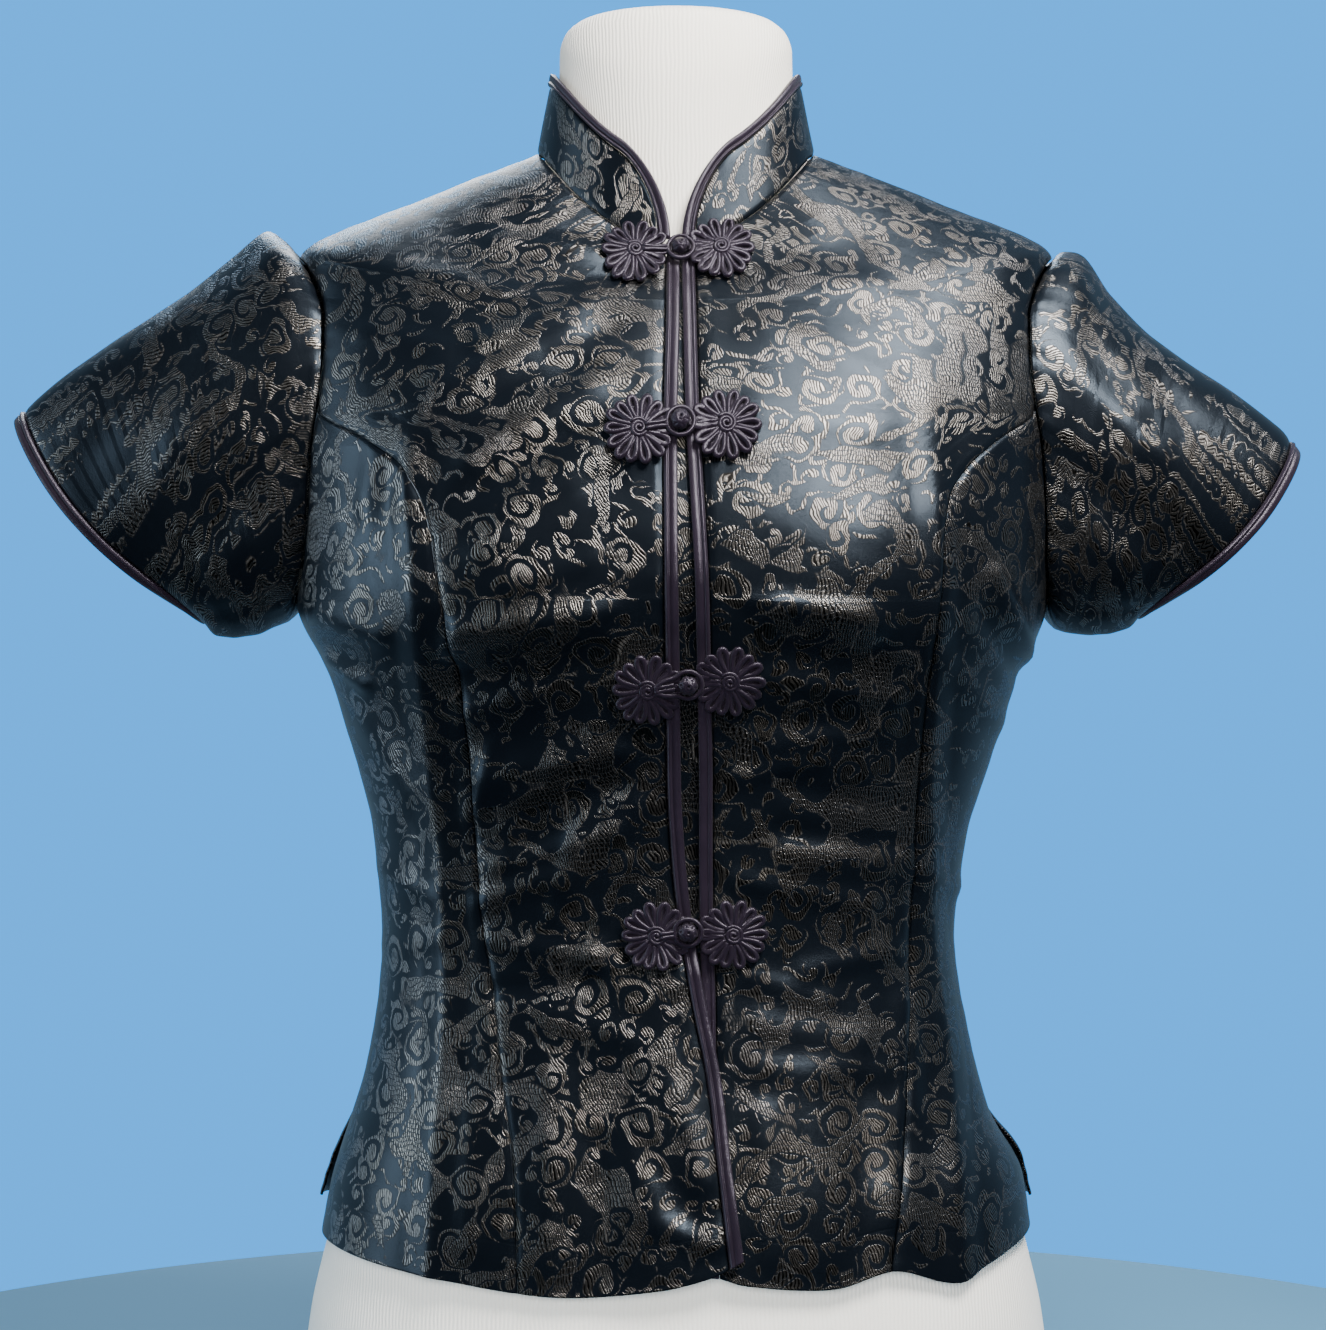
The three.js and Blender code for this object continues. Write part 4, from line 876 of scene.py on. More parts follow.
def front_skin(x, z, out):
    """Points out from the front of the blouse, or above the neckline from the collar."""
    level = np.clip(z, HEM, NECK)
    for _ in range(14):
        phi = phi_at(x, level)
        level = np.clip(level + z - body(phi, level)[..., 2], HEM, NECK)
    phi = phi_at(x, level)
    over = z - body(phi, level)[..., 2]
    at_neck = np.full_like(level, float(NECK))
    neck_phi_here = phi_at(x, at_neck)
    near = np.linalg.norm(body(phi, level) - body(neck_phi_here, at_neck), axis=-1)
    on_collar = collar_normal(neck_phi_here, np.zeros_like(level))
    right = x < along(front_lines, "level", "edge_right", level)
    flat = np.where(right[..., None], cloth("right", phi, level), cloth("left", phi, level))
    share = (0.5 * (1 - ease(0, 14, near)))[..., None]
    on_front = flat + unit(body_normal(phi, level) * (1 - share) + on_collar * share) * out[..., None]
    share = (1 - 0.5 * (1 - ease(0, 14, over)))[..., None]
    rise = np.clip(over, 0, COLLAR_HEIGHT)
    heading = unit(body_normal(phi, at_neck) * (1 - share) + on_collar * share)
    above = collar_surface(phi, rise) + heading * out[..., None]
    return np.where((over > 0.01)[..., None], above, on_front)


CORD_SIDES = 8


def tube(path, radius, closed=False):
    """A round cord along flat points (x, y, out); gives rings of points."""
    path = np.asarray(path, float)
    radius = np.broadcast_to(radius, len(path))
    if closed:
        heading = np.roll(path, -1, axis=0) - np.roll(path, 1, axis=0)
    else:
        heading = np.gradient(path, axis=0)
    heading = unit(heading)
    side = unit(np.cross(heading, np.array([0, 0, 1.0])))
    lift = np.cross(side, heading)
    turn = np.linspace(0, 2 * np.pi, CORD_SIDES, endpoint=False)
    ring = side[:, None] * np.cos(turn)[None, :, None] + lift[:, None] * np.sin(turn)[None, :, None]
    return path[:, None] + ring * radius[:, None, None]


print("a petal takes up", round(2 * math.pi * FLOWER / PETALS, 1), "mm of the rim")


# %% Petals, heart, loop and knot
def petal(number):
    s = spread(0, 1, 20)
    inner, reach = 4.2, FLOWER - 1.2
    uneven = 0.5 * math.sin(number * 2.3)
    along_petal = (1 - np.cos(2 * np.pi * s)) / 2
    distance = inner + (reach - inner + uneven) * along_petal
    sideways = 2.15 * np.sin(2 * np.pi * s) * (0.25 + 0.95 * along_petal)
    angle = 2 * math.pi * number / PETALS + 0.05 * math.sin(number * 1.7)
    out = FLOWER_BASE + 1.5 + 0.9 * (1 - along_petal) + 0.25 * np.sin(2 * np.pi * s)
    x = distance * math.cos(angle) - sideways * math.sin(angle)
    y = distance * math.sin(angle) + sideways * math.cos(angle)
    return tube(np.stack([x, y, out], axis=-1)[:-1], (1.12 + 0.28 * along_petal)[:-1], closed=True), True


def heart():
    turn = spread(0, 2 * math.pi * 2.4, 44)
    radius = 0.7 + 1.55 * turn / (2 * math.pi)
    out = np.full_like(turn, FLOWER_BASE + 3.1) + 0.5 * np.exp(-radius)
    path = np.stack([radius * np.cos(turn), radius * np.sin(turn), out], axis=-1)
    return tube(path, 1.0), False


def pad():
    """The backing that the petals are sewn to, a low dome with a scalloped rim."""
    turn = np.linspace(0, 2 * np.pi, PETALS * 4, endpoint=False)
    rim = 1 + 0.05 * np.cos(turn * PETALS)
    rings = [(0.02, 2.6), (0.3, 2.4), (0.62, 1.5), (0.86, 0.9), (0.86, 0.35), (0.3, 0.3), (0.02, 0.3)]
    return np.stack([np.stack([FLOWER * share * rim * np.cos(turn), FLOWER * share * rim * np.sin(turn),
                               np.full_like(turn, FLOWER_BASE - 0.4 + high)], axis=-1)
                     for share, high in rings[::-1]]), False


def ring_cord(centre, radius, cord, out, lean=0.0, azimuth=0.0, squash=1.0):
    turn = np.linspace(0, 2 * np.pi, 30, endpoint=False)
    flat = np.stack([radius * np.cos(turn), radius * np.sin(turn), np.zeros_like(turn)], axis=-1)
    tipped = np.stack([flat[:, 0] * math.cos(lean), flat[:, 1],
                       flat[:, 0] * math.sin(lean) * squash], axis=-1)
    cos, sin = math.cos(azimuth), math.sin(azimuth)
    x = centre[0] + tipped[:, 0] * cos - tipped[:, 1] * sin
    y = centre[1] + tipped[:, 0] * sin + tipped[:, 1] * cos
    path = np.stack([x, y, out + tipped[:, 2]], axis=-1)
    return tube(path, cord, closed=True), True


def loop_cord(centre, slack):
    """The loop round the knot, drawn out by its slack to a point towards its own flower."""
    turn = np.linspace(-np.pi, np.pi, 48, endpoint=False)
    reach = LOOP + slack * np.exp(-((turn / 0.42) ** 2))
    heading = turn + math.atan2(-centre[1], -centre[0])
    out = LOOP_OUT + 0.06 * (reach - LOOP)
    path = np.stack([centre[0] + reach * np.cos(heading), centre[1] + reach * np.sin(heading), out], axis=-1)
    return tube(path, LOOP_CORD, closed=True), True


def strands(start, end, apart, cord, low, high):
    start, end = np.array(start, float), np.array(end, float)
    across = unit(np.array([start[1] - end[1], end[0] - start[0]]))
    made = []
    for way in (-1, 1):
        t = spread(0, 1, 8)[:, None]
        flat = start * (1 - t) + end * t + across * apart * way * (1 - 0.25 * np.sin(np.pi * t))
        out = low + (high - low) * t
        made.append((tube(np.concatenate([flat, out], axis=1), cord), False))
    return made


def button(centre):
    middle = (KNOT_LOW + KNOT_HIGH) / 2
    squash = (KNOT_HIGH - KNOT_LOW) / (2 * KNOT)
    cords = [ring_cord(centre, 3.25, 1.3, middle, math.radians(lean), math.radians(round_by), squash * 1.1)
             for lean, round_by in ((62, 20), (58, 80), (60, 140), (64, 200), (57, 262), (61, 322))]
    top = (centre[0] + 0.4, centre[1] + 0.3)
    cords.append(ring_cord(top, 1.15, 0.85, KNOT_HIGH - 0.35, math.radians(12)))
    turn = np.linspace(0, 2 * np.pi, 16, endpoint=False)
    rise = np.radians(np.linspace(-80, 80, 9))
    core = np.stack([np.stack([centre[0] + 3.3 * math.cos(a) * np.cos(turn),
                               centre[1] + 3.3 * math.cos(a) * np.sin(turn),
                               np.full_like(turn, middle + 2.3 * math.sin(a))], axis=-1) for a in rise])
    return cords + [(core, False)]


print("a flower has", PETALS, "petals, a heart and a backing")

# %% Frogs on the blouse
frogs = table("number loop_x loop_z knot_x knot_z flower_x flower_z slack", [
    (1, -20, 599, 2, 600, 21.5, 600.5, 0),
    (2, -17.5, 508, 1.5, 511, 22.5, 510, 0),
    (3, -13.5, 389, 5, 392, 24, 393, 8.5),
    (4, -9.5, 273.5, 5, 275.5, 26, 274, 0),
])


def laid(name, cords, x, z, lean):
    """Joins flat cords into one mesh and lays it on the front with its middle at (x, z)."""
    points, faces, places = [], [], []
    for rings, closed in cords:
        more_faces, more_places = bar_faces(rings, closed, sum(len(part) for part in points))
        faces += more_faces
        places += more_places
        points.append(rings.reshape(-1, 3))
    flat = np.concatenate(points)
    reach = np.clip(flat[:, 0] * lean / FLOWER, 0, 1)
    within = np.hypot(flat[:, 0], flat[:, 1]) < FLOWER + 1
    out = flat[:, 2] + np.where(within & (flat[:, 2] < 3.4), FLOWER_TILT * reach, 0)
    return mesh_object(name, front_skin(x + flat[:, 0], z + flat[:, 1], out), faces, places)


def flower_cords():
    return [pad(), heart()] + [petal(number) for number in range(PETALS)]


frog_pieces = {}
for number, loop_x, loop_z, knot_x, knot_z, flower_x, flower_z, slack in zip(*frogs.values()):
    to_knot = (knot_x - loop_x, knot_z - loop_z)
    ring_start = np.array(to_knot) * (1 - LOOP / math.hypot(*to_knot))
    loop_side = flower_cords() + [loop_cord(to_knot, slack)]
    loop_side += strands(ring_start * 0.25, ring_start, 1.15, LOOP_CORD, LOOP_OUT + 0.5, LOOP_OUT)
    from_flower = (knot_x - flower_x, knot_z - flower_z)
    knot_side = flower_cords() + button(from_flower)
    knot_side += strands(np.array(from_flower) * 0.2, from_flower, 1.0, 0.95, 3.6, 2.3)
    name = f"frog_{int(number)}"
    frog_pieces[name + "_loop"] = laid(name + "_loop_cord", loop_side, loop_x, loop_z, 1)
    frog_pieces[name + "_knot"] = laid(name + "_knot_cord", knot_side, flower_x, flower_z, -1)
print(len(frog_pieces), "halves of frogs,", len(frog_pieces["frog_1_loop"].data.polygons), "faces in one")

# %% [markdown]
# ## The dress form
# A display form is a moulded body in a stretched jersey cover. It stands just inside the blouse from hem
# to collar, so only its neck and hips show. Its rings are kept as the blouse's are, a little smaller.

# %% The form
form_rings = table("level half shift fore aft mid front back square", [
    (0, 182, 0, 122, 119, 0, 0, 0, 2.3), (5, 185, 0, 125, 122, 0, 0, 0, 2.3),
    (45, 185, 0, 125, 122, 0, 0, 0, 2.3), (80, 181.5, 0, 121, 118, 0, -3, -1, 2.3),
    (120, 172.6, 0, 113.5, 111, 0, -8, -3, 2.3), (150, 166, 0.5, 109.5, 108, 0, -7, -3, 2.3),
    (180, 153.5, -2.5, 103.5, 101, 0, -5, -2, 2.3), (212, 145, -2.5, 96.5, 93, 0, -3, -1, 2.25),
    (265, 138, -4, 90.5, 82, 0, 0, 0, 2.2), (312, 142.5, -3, 93.5, 84, 0, 0, 0, 2.2),
    (355, 154, -1.5, 100.5, 90, 0, 0, 0, 2.2), (395, 166.5, -1, 110, 96, 0, 0, 0, 2.25),
    (430, 178, -2, 119, 101, 0, 0, 0, 2.3), (470, 179, 0, 121, 103, 1, -1, 2, 2.3),
    (515, 179, 0, 113.5, 102, 4, -6, 2, 2.3), (560, 176, 0, 96.5, 93, 8, -15, 0, 2.25),
    (588, 168, 0, 82, 82, 11, -25, -2, 2.15), (606, 150, 0, 74, 75, 12, -31, 2, 2.1),
    (628, 116, 0, 62, 66, 13, -41, 5, 2.05), (645, 78, 0, 54, 57, 13, -49, 6, 2),
    (656, 64.5, 0, 49, 53, 12, -50, 6, 2), (672, 60.5, 0, 47, 49, 11, -50, 7, 2),
    (697, 58.6, 0, 46.5, 48, 11, -45, 6, 2), (708, 58.4, 0, 47, 48.5, 11, -22, 1, 2),
    (716, 56, 0, 44.5, 46.5, 11, -8, 0, 2), (722, 49.5, 0, 39, 41, 11, 0, 0, 2),
    (725.5, 39, 0, 30, 32, 11, 0, 0, 2), (727, 24, 0, 18, 19, 11, 0, 0, 2),
])
form_levels = np.unique(np.concatenate([
    [0, 0.7, 1.8, 3.2], spread(5, 640, 150), spread(640, 718, 40), spread(718, 725.5, 10),
    spread(725.5, 727, 6)]))
form_phi = np.linspace(-np.pi, np.pi, 160, endpoint=False)
form_points = ring_point(form_rings, form_phi[None, :], form_levels[:, None])
form_top = form_points[-1:]
form_middle = form_top.mean(axis=1, keepdims=True)
caps = [form_middle + (form_top - form_middle) * share + np.array([0, 0, 0.25 * (1 - share)])
        for share in (0.8, 0.55, 0.3, 0.08)]
form_cover = swept("form_cover", np.concatenate([form_points, *caps]))
print("the form is", len(form_cover.data.polygons), "faces")

# %% [markdown]
# ## Finishes
# All three cloths share two effects, each a node group: fine parallel threads, and the unevenness that
# handling leaves. Nodes are made through a small helper, so that each recipe reads as a few short lines.


# %% A helper for nodes
class Recipe:
    """Adds nodes to one tree; values may be numbers or other nodes' outputs."""

    def __init__(self, tree):
        self.tree = tree

    def node(self, kind, **settings):
        made = self.tree.nodes.new("ShaderNode" + kind)
        for name, value in settings.items():
            setattr(made, name, value)
        return made

    def feed(self, socket, value):
        if isinstance(value, bpy.types.NodeSocket):
            self.tree.links.new(value, socket)
        else:
            socket.default_value = value

    def maths(self, operation, *values):
        made = self.node("Math", operation=operation)
        for socket, value in zip(made.inputs, values):
            self.feed(socket, value)
        return made.outputs[0]

    def vector(self, operation, *values, scale=None):
        made = self.node("VectorMath", operation=operation)
        for socket, value in zip(made.inputs, values):
            self.feed(socket, value)
        if scale is not None:
            self.feed(made.inputs["Scale"], scale)
        return made.outputs[0]

    def remap(self, value, low, high, to_low=0.0, to_high=1.0):
        made = self.node("MapRange", interpolation_type="SMOOTHSTEP")
        for name, number in (("Value", value), ("From Min", low), ("From Max", high),
                             ("To Min", to_low), ("To Max", to_high)):
            self.feed(made.inputs[name], number)
        return made.outputs[0]

    def noise(self, place, scale, detail=2.0, output="Fac"):
        made = self.node("TexNoise")
        for name, number in (("Vector", place), ("Scale", scale), ("Detail", detail)):
            self.feed(made.inputs[name], number)
        return made.outputs[output]

    def blend(self, share, low, high):
        made = self.node("Mix", data_type="RGBA")
        for index, value in ((0, share), (6, low), (7, high)):
            self.feed(made.inputs[index], value)
        return made.outputs[2]


def new_group(name, inputs, outputs):
    tree = bpy.data.node_groups.new(name, "ShaderNodeTree")
    for way, sockets in (("INPUT", inputs), ("OUTPUT", outputs)):
        for label, kind, *default in sockets:
            socket = tree.interface.new_socket(name=label, in_out=way, socket_type="NodeSocket" + kind)
            if default:
                socket.default_value = default[0]
    recipe = Recipe(tree)
    return recipe, tree.nodes.new("NodeGroupInput").outputs, tree.nodes.new("NodeGroupOutput").inputs


def placed_group(recipe, name, **values):
    made = recipe.node("Group")
    made.node_tree = bpy.data.node_groups[name]
    for label, value in values.items():
        recipe.feed(made.inputs[label], value)
    return made.outputs


print("node helper ready")

# %% Threads and handling
recipe, given, gives = new_group(
    "Fine threads",
    [("Place", "Vector"), ("Pitch", "Float", 0.0004), ("Slub", "Float", 0.3), ("Upright", "Float", 0.0)],
    [("Height", "Float")])
x_y = recipe.node("SeparateXYZ")
recipe.feed(x_y.inputs[0], given["Place"])
level_share = recipe.maths("SUBTRACT", 1.0, given["Upright"])
across = recipe.maths("ADD", recipe.maths("MULTIPLY", x_y.outputs[1], level_share),
                      recipe.maths("MULTIPLY", x_y.outputs[0], given["Upright"]))
wander = recipe.noise(given["Place"], 90.0, 1.0)
count = recipe.maths("ADD", recipe.maths("DIVIDE", across, given["Pitch"]), wander)
lines = recipe.maths("SINE", recipe.maths("MULTIPLY", count, 2 * math.pi))
slubs = recipe.noise(recipe.vector("MULTIPLY", given["Place"], (300.0, 2600.0, 1.0)), 1.0, 2.0)
recipe.feed(gives["Height"], recipe.maths("ADD", recipe.maths("MULTIPLY", lines, 0.5),
                                          recipe.maths("MULTIPLY", slubs, given["Slub"])))

recipe, given, gives = new_group(
    "Handled cloth", [("Place", "Vector"), ("Amount", "Float", 0.3)], [("Tone", "Float"), ("Dust", "Float")])
patches = recipe.noise(given["Place"], 14.0, 3.0)
recipe.feed(gives["Tone"], recipe.maths("ADD", 1.0, recipe.maths(
    "MULTIPLY", recipe.maths("SUBTRACT", patches, 0.5), given["Amount"])))
specks = recipe.noise(given["Place"], 900.0, 1.0)
recipe.feed(gives["Dust"], recipe.maths("MULTIPLY", recipe.remap(specks, 0.70, 0.78), given["Amount"]))
print("two shared effects made")

# %% [markdown]
# ## The brocade
# The weave is a traditional all-over of curling clouds with winding scaled bands between them, in a dull
# bronze weft on a near-black satin ground. A painted image could carry it, but curls are easy to reckon:
# in each cell of a Voronoi pattern, the angle and the distance to the cell's heart make a spiral, turning
# one way or the other. Bands follow the middle heights of a slow noise, and scales fill them.


# %% Curls, bands and scales
def curls(recipe, place, size, pitch, thick, kept, offset):
    """Spirals in a pattern's cells, size in millimetres and pitch in cells: their mask and their discs."""
    scaled = recipe.vector("SCALE", place, scale=recipe.maths("DIVIDE", 1.0, size))
    cell = recipe.vector("ADD", scaled, offset)
    voronoi = recipe.node("TexVoronoi", voronoi_dimensions="2D", feature="F1")
    recipe.feed(voronoi.inputs["Vector"], cell)
    recipe.feed(voronoi.inputs["Scale"], 1.0)
    recipe.feed(voronoi.inputs["Randomness"], 0.7)
    away = recipe.node("SeparateXYZ")
    recipe.feed(away.inputs[0], recipe.vector("SUBTRACT", cell, voronoi.outputs["Position"]))
    chance = recipe.node("SeparateColor")
    recipe.feed(chance.inputs[0], voronoi.outputs["Color"])
    way = recipe.maths("SIGN", recipe.maths("SUBTRACT", chance.outputs[1], 0.5))
    radius = voronoi.outputs["Distance"]
    angle = recipe.maths("DIVIDE", recipe.maths("ARCTAN2", away.outputs[1], away.outputs[0]), 2 * math.pi)
    phase = recipe.maths("ADD", recipe.maths("DIVIDE", radius, pitch), recipe.maths("MULTIPLY", angle, way))
    phase = recipe.maths("FRACT", recipe.maths("ADD", recipe.maths("ADD", phase, chance.outputs[0]), 4.0))
    from_middle = recipe.maths("ABSOLUTE", recipe.maths("SUBTRACT", phase, 0.5))
    stroke = recipe.remap(from_middle, thick + 0.04, thick - 0.03)
    reach = recipe.maths("ADD", 0.34, recipe.maths("MULTIPLY", chance.outputs[2], 0.16))
    there = recipe.maths("LESS_THAN", chance.outputs[0], kept)
    disc = recipe.maths("MULTIPLY", recipe.remap(recipe.maths("SUBTRACT", radius, reach), 0.02, -0.02), there)
    heart = recipe.remap(radius, 0.13, 0.10)
    return recipe.maths("MULTIPLY", recipe.maths("MAXIMUM", stroke, heart), disc), disc


def contour(recipe, place, scale, width, soft, offset):
    """Lines that wind along the middle height of a slow noise: their mask and a wider one round them."""
    height = recipe.noise(recipe.vector("ADD", place, offset), scale, 0.0)
    away = recipe.maths("ABSOLUTE", recipe.maths("SUBTRACT", height, 0.5))
    return recipe.remap(away, width + soft, width), recipe.remap(away, width + 3 * soft, width + 2 * soft)


recipe, given, gives = new_group(
    "Cloud brocade", [("Place", "Vector"), ("Curl Size", "Float", 21.0)],
    [("Figure", "Float"), ("Threads", "Float"), ("Tint", "Float")])
place = recipe.vector("SCALE", given["Place"], scale=1000.0)
drift = recipe.vector("SUBTRACT", recipe.noise(place, 0.07, 1.0, output="Color"), (0.5, 0.5, 0.5))
place = recipe.vector("ADD", place, recipe.vector("SCALE", drift, scale=9.0))
flat_place = recipe.vector("MULTIPLY", place, (1.0, 1.0, 0.0))

scales = recipe.node("TexVoronoi", voronoi_dimensions="2D", feature="DISTANCE_TO_EDGE")
recipe.feed(scales.inputs["Vector"], recipe.vector("MULTIPLY", flat_place, (0.50, 0.42, 0.0)))
recipe.feed(scales.inputs["Scale"], 1.0)
recipe.feed(scales.inputs["Randomness"], 0.35)
scaly = recipe.remap(scales.outputs["Distance"], 0.03, 0.12, 0.12, 1.0)
body_line, beside_body = contour(recipe, flat_place, 0.036, 0.066, 0.008, (13.0, 41.0, 0.0))
broken = recipe.remap(recipe.noise(flat_place, 0.030, 0.0), 0.49, 0.52)
bodies = recipe.maths("MULTIPLY", body_line, broken)
beside = recipe.maths("MULTIPLY", beside_body, broken)
free = recipe.maths("SUBTRACT", 1.0, beside)

large, large_disc = curls(recipe, flat_place, given["Curl Size"], 0.31, 0.29, 0.56, (3.1, 7.7, 0.0))
half_size = recipe.maths("MULTIPLY", given["Curl Size"], 0.5)
small, small_disc = curls(recipe, flat_place, half_size, 0.52, 0.26, 0.46, (11.3, 2.9, 0.0))
tails, _ = contour(recipe, flat_place, 0.085, 0.034, 0.02, (71.0, 5.0, 0.0))
tails = recipe.maths("MULTIPLY", tails, recipe.remap(recipe.noise(flat_place, 0.11, 0.0), 0.49, 0.55))
tails = recipe.maths("MULTIPLY", tails, recipe.maths("SUBTRACT", 1.0, small_disc))
between_large = recipe.maths("MULTIPLY", recipe.maths("MAXIMUM", small, tails),
                             recipe.maths("SUBTRACT", 1.0, large_disc))
clouds = recipe.maths("MULTIPLY", recipe.maths("MAXIMUM", large, between_large), free)
figure = recipe.maths("MAXIMUM", clouds, recipe.maths("MULTIPLY", bodies, scaly))

weft = recipe.node("TexWave", wave_type="BANDS", bands_direction="DIAGONAL")
recipe.feed(weft.inputs["Vector"], recipe.vector("MULTIPLY", flat_place, (1.5, 0.55, 0.0)))
recipe.feed(weft.inputs["Scale"], 0.32)
recipe.feed(weft.inputs["Distortion"], 2.4)
recipe.feed(weft.inputs["Detail"], 1.0)
recipe.feed(weft.inputs["Detail Scale"], 1.5)
floats = recipe.remap(weft.outputs["Fac"], 0.15, 0.75)
recipe.feed(gives["Figure"], figure)
recipe.feed(gives["Threads"], recipe.maths("MULTIPLY", figure, floats))
recipe.feed(gives["Tint"], recipe.noise(place, 0.02, 2.0))
print("the brocade's figure is reckoned from", len(recipe.tree.nodes), "nodes")


# %% Brocade, satin and jersey
def new_material(name):
    material = bpy.data.materials.new(name)
    material.use_nodes = True
    recipe = Recipe(material.node_tree)
    place = recipe.node("UVMap", uv_map="bolt").outputs[0]
    return material, recipe, place, material.node_tree.nodes["Principled BSDF"]


def bump(recipe, height, distance, strength, normal=None):
    made = recipe.node("Bump")
    recipe.feed(made.inputs["Height"], height)
    made.inputs["Distance"].default_value = distance
    made.inputs["Strength"].default_value = strength
    if normal is not None:
        recipe.feed(made.inputs["Normal"], normal)
    return made.outputs[0]


def mark(recipe, name):
    return recipe.node("Attribute", attribute_name=name).outputs["Fac"]


HEM_TURNED = 0.022  # metres from the hem's fold to its stitching


def rougher_with_dust(recipe, surface, rough, handled, amount):
    dusty = recipe.maths("MULTIPLY", handled["Dust"], amount)
    recipe.feed(surface.inputs["Roughness"], recipe.maths("ADD", rough, dusty))


def brocade_material():
    material, recipe, place, surface = new_material("brocade")
    woven = placed_group(recipe, "Cloud brocade", Place=place)
    threads = placed_group(recipe, "Fine threads", Place=place, Pitch=0.00042, Slub=0.5)["Height"]
    handled = placed_group(recipe, "Handled cloth", Place=place, Amount=0.35)
    bronze = recipe.blend(woven["Tint"], (0.22, 0.22, 0.23, 1), (0.30, 0.265, 0.22, 1))
    ground = recipe.blend(woven["Tint"], (0.0016, 0.0024, 0.0040, 1), (0.0028, 0.0040, 0.0062, 1))
    shaded = recipe.blend(0.10, (0, 0, 0, 1), bronze)
    thread_colour = recipe.blend(woven["Threads"], shaded, bronze)
    colour = recipe.blend(woven["Figure"], ground, thread_colour)
    worn = recipe.vector("SCALE", colour, scale=handled["Tone"])
    # painted shade: the colour darkens to about a third within 1.4 mm of each seam, dart and bound edge,
    # where the cloth sinks into the seam
    seam = recipe.remap(mark(recipe, "from_seam"), 0.0, 0.0014, 0.35, 1.0)
    recipe.feed(surface.inputs["Base Color"], recipe.vector("SCALE", worn, scale=seam))
    recipe.feed(surface.inputs["Metallic"], woven["Figure"])
    rough = recipe.maths("ADD", 0.32, recipe.maths("MULTIPLY", woven["Figure"], 0.02))
    rougher_with_dust(recipe, surface, rough, handled, 0.3)
    surface.inputs["Specular IOR Level"].default_value = 0.4
    surface.inputs["Specular Tint"].default_value = (0.66, 0.82, 1.0, 1)
    hem = recipe.maths("ABSOLUTE", recipe.maths("SUBTRACT", mark(recipe, "from_hem"), HEM_TURNED))
    turned_up = recipe.remap(hem, 0.0, 0.0012, -0.35, 0.0)
    height = recipe.maths("ADD", recipe.maths("MULTIPLY", woven["Threads"], 0.7), turned_up)
    raised = bump(recipe, height, 0.0004, 0.42)
    recipe.feed(surface.inputs["Normal"], bump(recipe, threads, 0.00008, 0.35, raised))
    return material


def satin_material():
    material, recipe, place, surface = new_material("satin_trim")
    threads = placed_group(recipe, "Fine threads", Place=place, Pitch=0.0005, Slub=0.9)["Height"]
    handled = placed_group(recipe, "Handled cloth", Place=place, Amount=0.4)
    plum = recipe.blend(recipe.noise(place, 60.0, 2.0), (0.007, 0.005, 0.009, 1), (0.018, 0.012, 0.021, 1))
    recipe.feed(surface.inputs["Base Color"], recipe.vector("SCALE", plum, scale=handled["Tone"]))
    rougher_with_dust(recipe, surface, 0.30, handled, 0.4)
    surface.inputs["Specular IOR Level"].default_value = 0.42
    surface.inputs["Specular Tint"].default_value = (0.92, 0.86, 1.0, 1)
    surface.inputs["Anisotropic"].default_value = 0.5
    surface.inputs["Sheen Weight"].default_value = 0.03
    recipe.feed(surface.inputs["Normal"], bump(recipe, threads, 0.00012, 0.5))
    return material


def jersey_material():
    material, recipe, place, surface = new_material("form_cover")
    handled = placed_group(recipe, "Handled cloth", Place=place, Amount=0.10)
    ribs = placed_group(recipe, "Fine threads", Place=place, Pitch=0.0021, Slub=0.25, Upright=1.0)["Height"]
    ivory = recipe.blend(recipe.noise(place, 25.0, 3.0), (0.93, 0.88, 0.78, 1), (0.97, 0.93, 0.85, 1))
    # painted shade: the ivory is darkened in the grooves between the knit ribs, on top of the random tone
    # from handling
    between = recipe.remap(ribs, -0.5, 0.2, 0.94, 1.0)
    tone_and_rib_shade = recipe.maths("MULTIPLY", handled["Tone"], between)
    recipe.feed(surface.inputs["Base Color"], recipe.vector("SCALE", ivory, scale=tone_and_rib_shade))
    surface.inputs["Roughness"].default_value = 0.85
    surface.inputs["Sheen Weight"].default_value = 0.25
    surface.inputs["Sheen Roughness"].default_value = 0.5
    recipe.feed(surface.inputs["Normal"], bump(recipe, ribs, 0.0004, 0.5))
    return material


finishes = {"brocade": brocade_material(), "satin_trim": satin_material(), "form_cover": jersey_material()}
print("finishes:", ", ".join(finishes))

# %% [markdown]
# ## Putting it in the frame
# Each piece takes its finish and rides on the frame's one body, in the place of the plain solid it
# stands for. The cloth pieces keep the flat size they were cut to, noted on each when it was made.

# %% Dressing the frame
cloths = {
    "front_right": front_right, "front_left": front_left, "side_front_right": side_front_right,
    "side_front_left": side_front_left, "back": back, "underlap": underlap, "collar": collar,
    "sleeve_right": sleeve_pieces["right"], "sleeve_left": sleeve_pieces["left"],
}
trims = {
    "collar_binding": collar_binding, "front_binding_right": front_binding_right,
    "front_binding_left": front_binding_left, "cuff_binding_right": cuff_bindings["right"],
    "cuff_binding_left": cuff_bindings["left"], **frog_pieces,
}


def dress(node, piece, slot):
    piece.data.materials.append(finishes[slot])
    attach(piece, "root")
    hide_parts(node)


for node, piece in cloths.items():
    dress(node, piece, "brocade")
for node, piece in trims.items():
    dress(node, piece, "satin_trim")
dress("form", form_cover, "form_cover")

print(len(cloths), "pieces of cloth and", len(trims), "trims")

# %% [markdown]
# ## Light and floor
# Satin is read by what it reflects. One light high on the viewer's right glazes that side of the chest, a
# weak window on the left draws the folds, and a blue surround behind gives the sides their sheen. The wide
# fills and the floor are kept out of reflections, or they would lay a pale glare over the dark cloth.


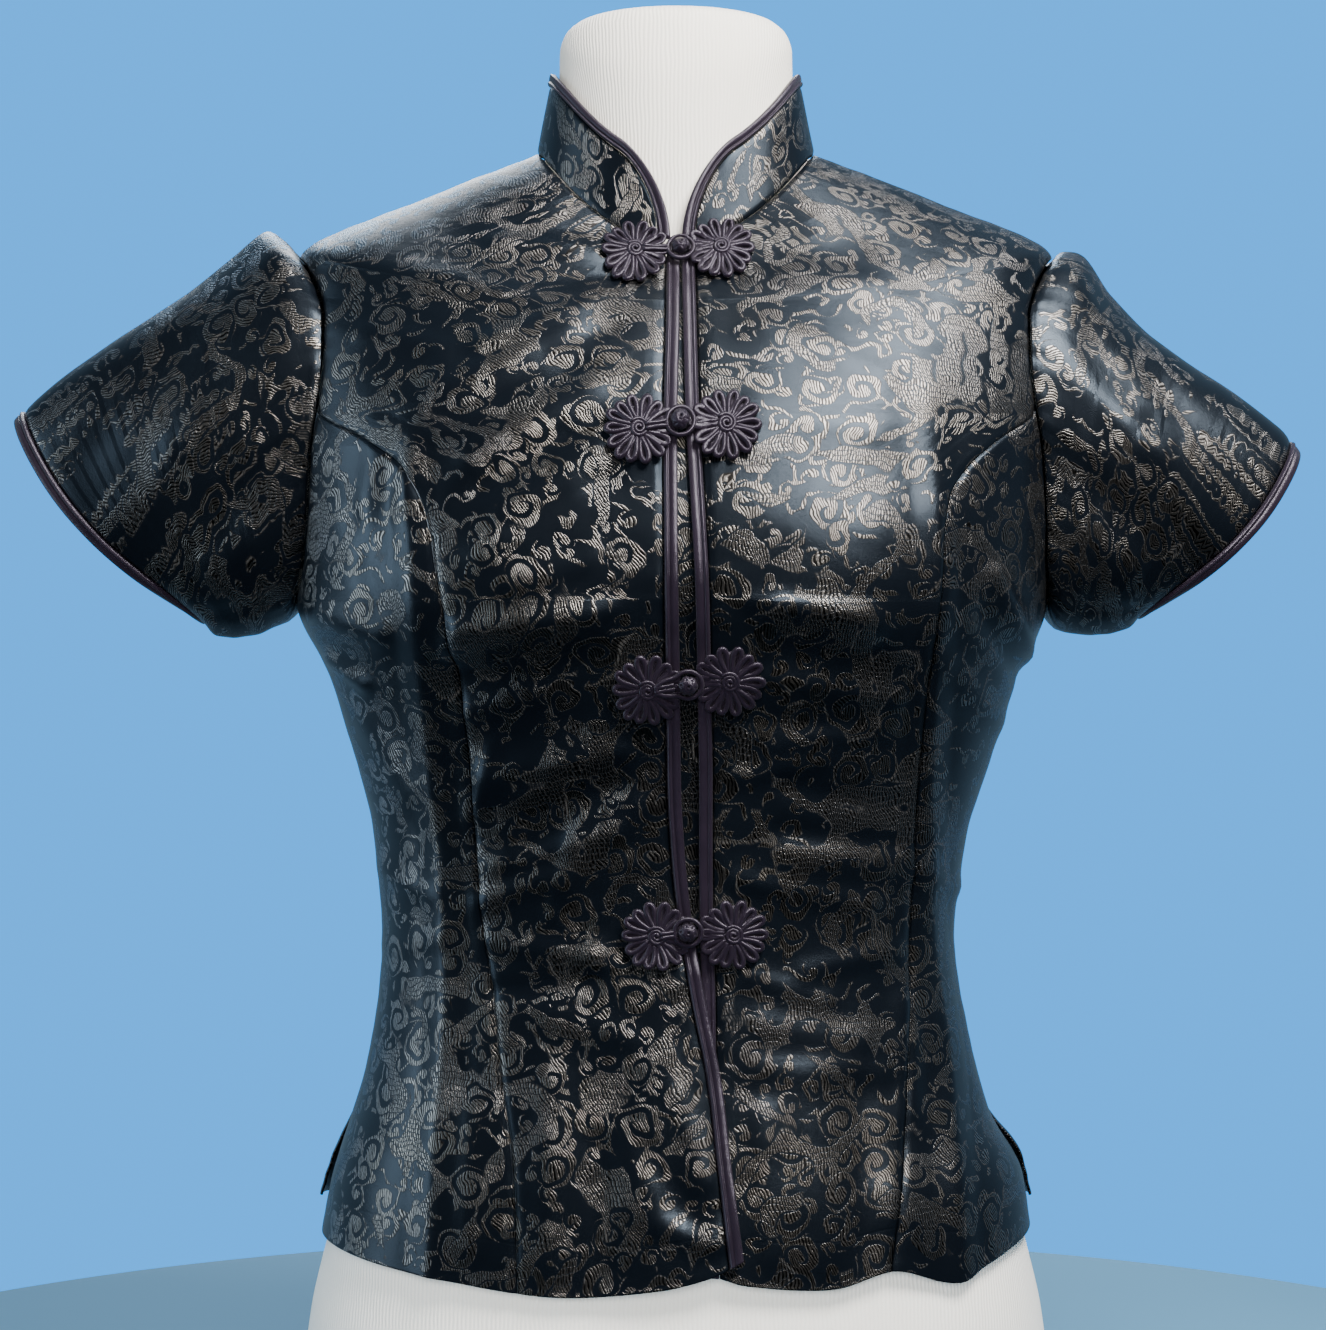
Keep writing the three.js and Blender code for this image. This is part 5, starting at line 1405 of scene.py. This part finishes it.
# %% Lights, surround and floor
def area_light(name, place, target, size, power, colour):
    data = bpy.data.lights.new(name, "AREA")
    data.shape = "ELLIPSE"
    data.size, data.size_y = size
    data.energy = power
    data.color = colour
    lamp = bpy.data.objects.new(name, data)
    lamp.location = place
    lamp.rotation_euler = (Vector(target) - Vector(place)).to_track_quat("-Z", "Y").to_euler()
    scene.collection.objects.link(lamp)
    return lamp


chest = (0, 0, 0.45)
area_light("key", (0.5, -0.65, 1.42), (0.06, 0, 0.5), (0.6, 0.6), 46, (1.0, 0.98, 0.96))
area_light("window", (-1.8, -0.25, 0.65), chest, (0.8, 1.2), 14, (0.66, 0.84, 1.0))
area_light("behind", (-0.35, 1.7, 1.9), chest, (1.3, 1.0), 38, (0.93, 0.97, 1.0))

for name, away, power in (("fill", -2.2, 60), ("fill_behind", 2.2, 30)):
    fill = area_light(name, (0, away, 0.7), (0, 0, 0.3), (1.4, 1.4), power, (1.0, 0.99, 0.97))
    fill.visible_glossy = False

world = bpy.data.worlds.new("surround")
world.use_nodes = True
world_recipe = Recipe(world.node_tree)
direction = world_recipe.node("SeparateXYZ")
world_recipe.feed(direction.inputs[0], world_recipe.node("TexCoord").outputs["Generated"])
background = world.node_tree.nodes["Background"]
seen = world_recipe.node("LightPath").outputs["Is Camera Ray"]
surround = world_recipe.blend(seen, (0.26, 0.44, 0.62, 1), (0.045, 0.58, 1.60, 1))
world_recipe.feed(background.inputs[0], surround)
behind = world_recipe.remap(direction.outputs[1], -0.2, 0.6, 0.03, 0.8)
world_recipe.feed(background.inputs[1], world_recipe.maths("MAXIMUM", seen, behind))
scene.world = world

FLOOR = 0.6  # radius of the round cloth that the form stands on
floor_mesh = bpy.data.meshes.new("floor")
rim = [(FLOOR * math.cos(turn), FLOOR * math.sin(turn), 0) for turn in map(math.radians, range(0, 360, 3))]
floor_mesh.from_pydata(rim, [], [list(range(len(rim)))])
floor = bpy.data.objects.new("floor", floor_mesh)
floor.location.z = -0.0005
floor.visible_glossy = False
scene.collection.objects.link(floor)
floor_material = bpy.data.materials.new("floor")
floor_material.use_nodes = True
floor_recipe = Recipe(floor_material.node_tree)
paper = floor_recipe.blend(floor_recipe.noise(floor_recipe.node("TexCoord").outputs["Object"], 3.0),
                           (0.06, 0.19, 0.32, 1), (0.07, 0.22, 0.36, 1))
floor_surface = floor_material.node_tree.nodes["Principled BSDF"]
floor_recipe.feed(floor_surface.inputs["Base Color"], paper)
floor_surface.inputs["Roughness"].default_value = 0.8
floor_mesh.materials.append(floor_material)
print("lit")
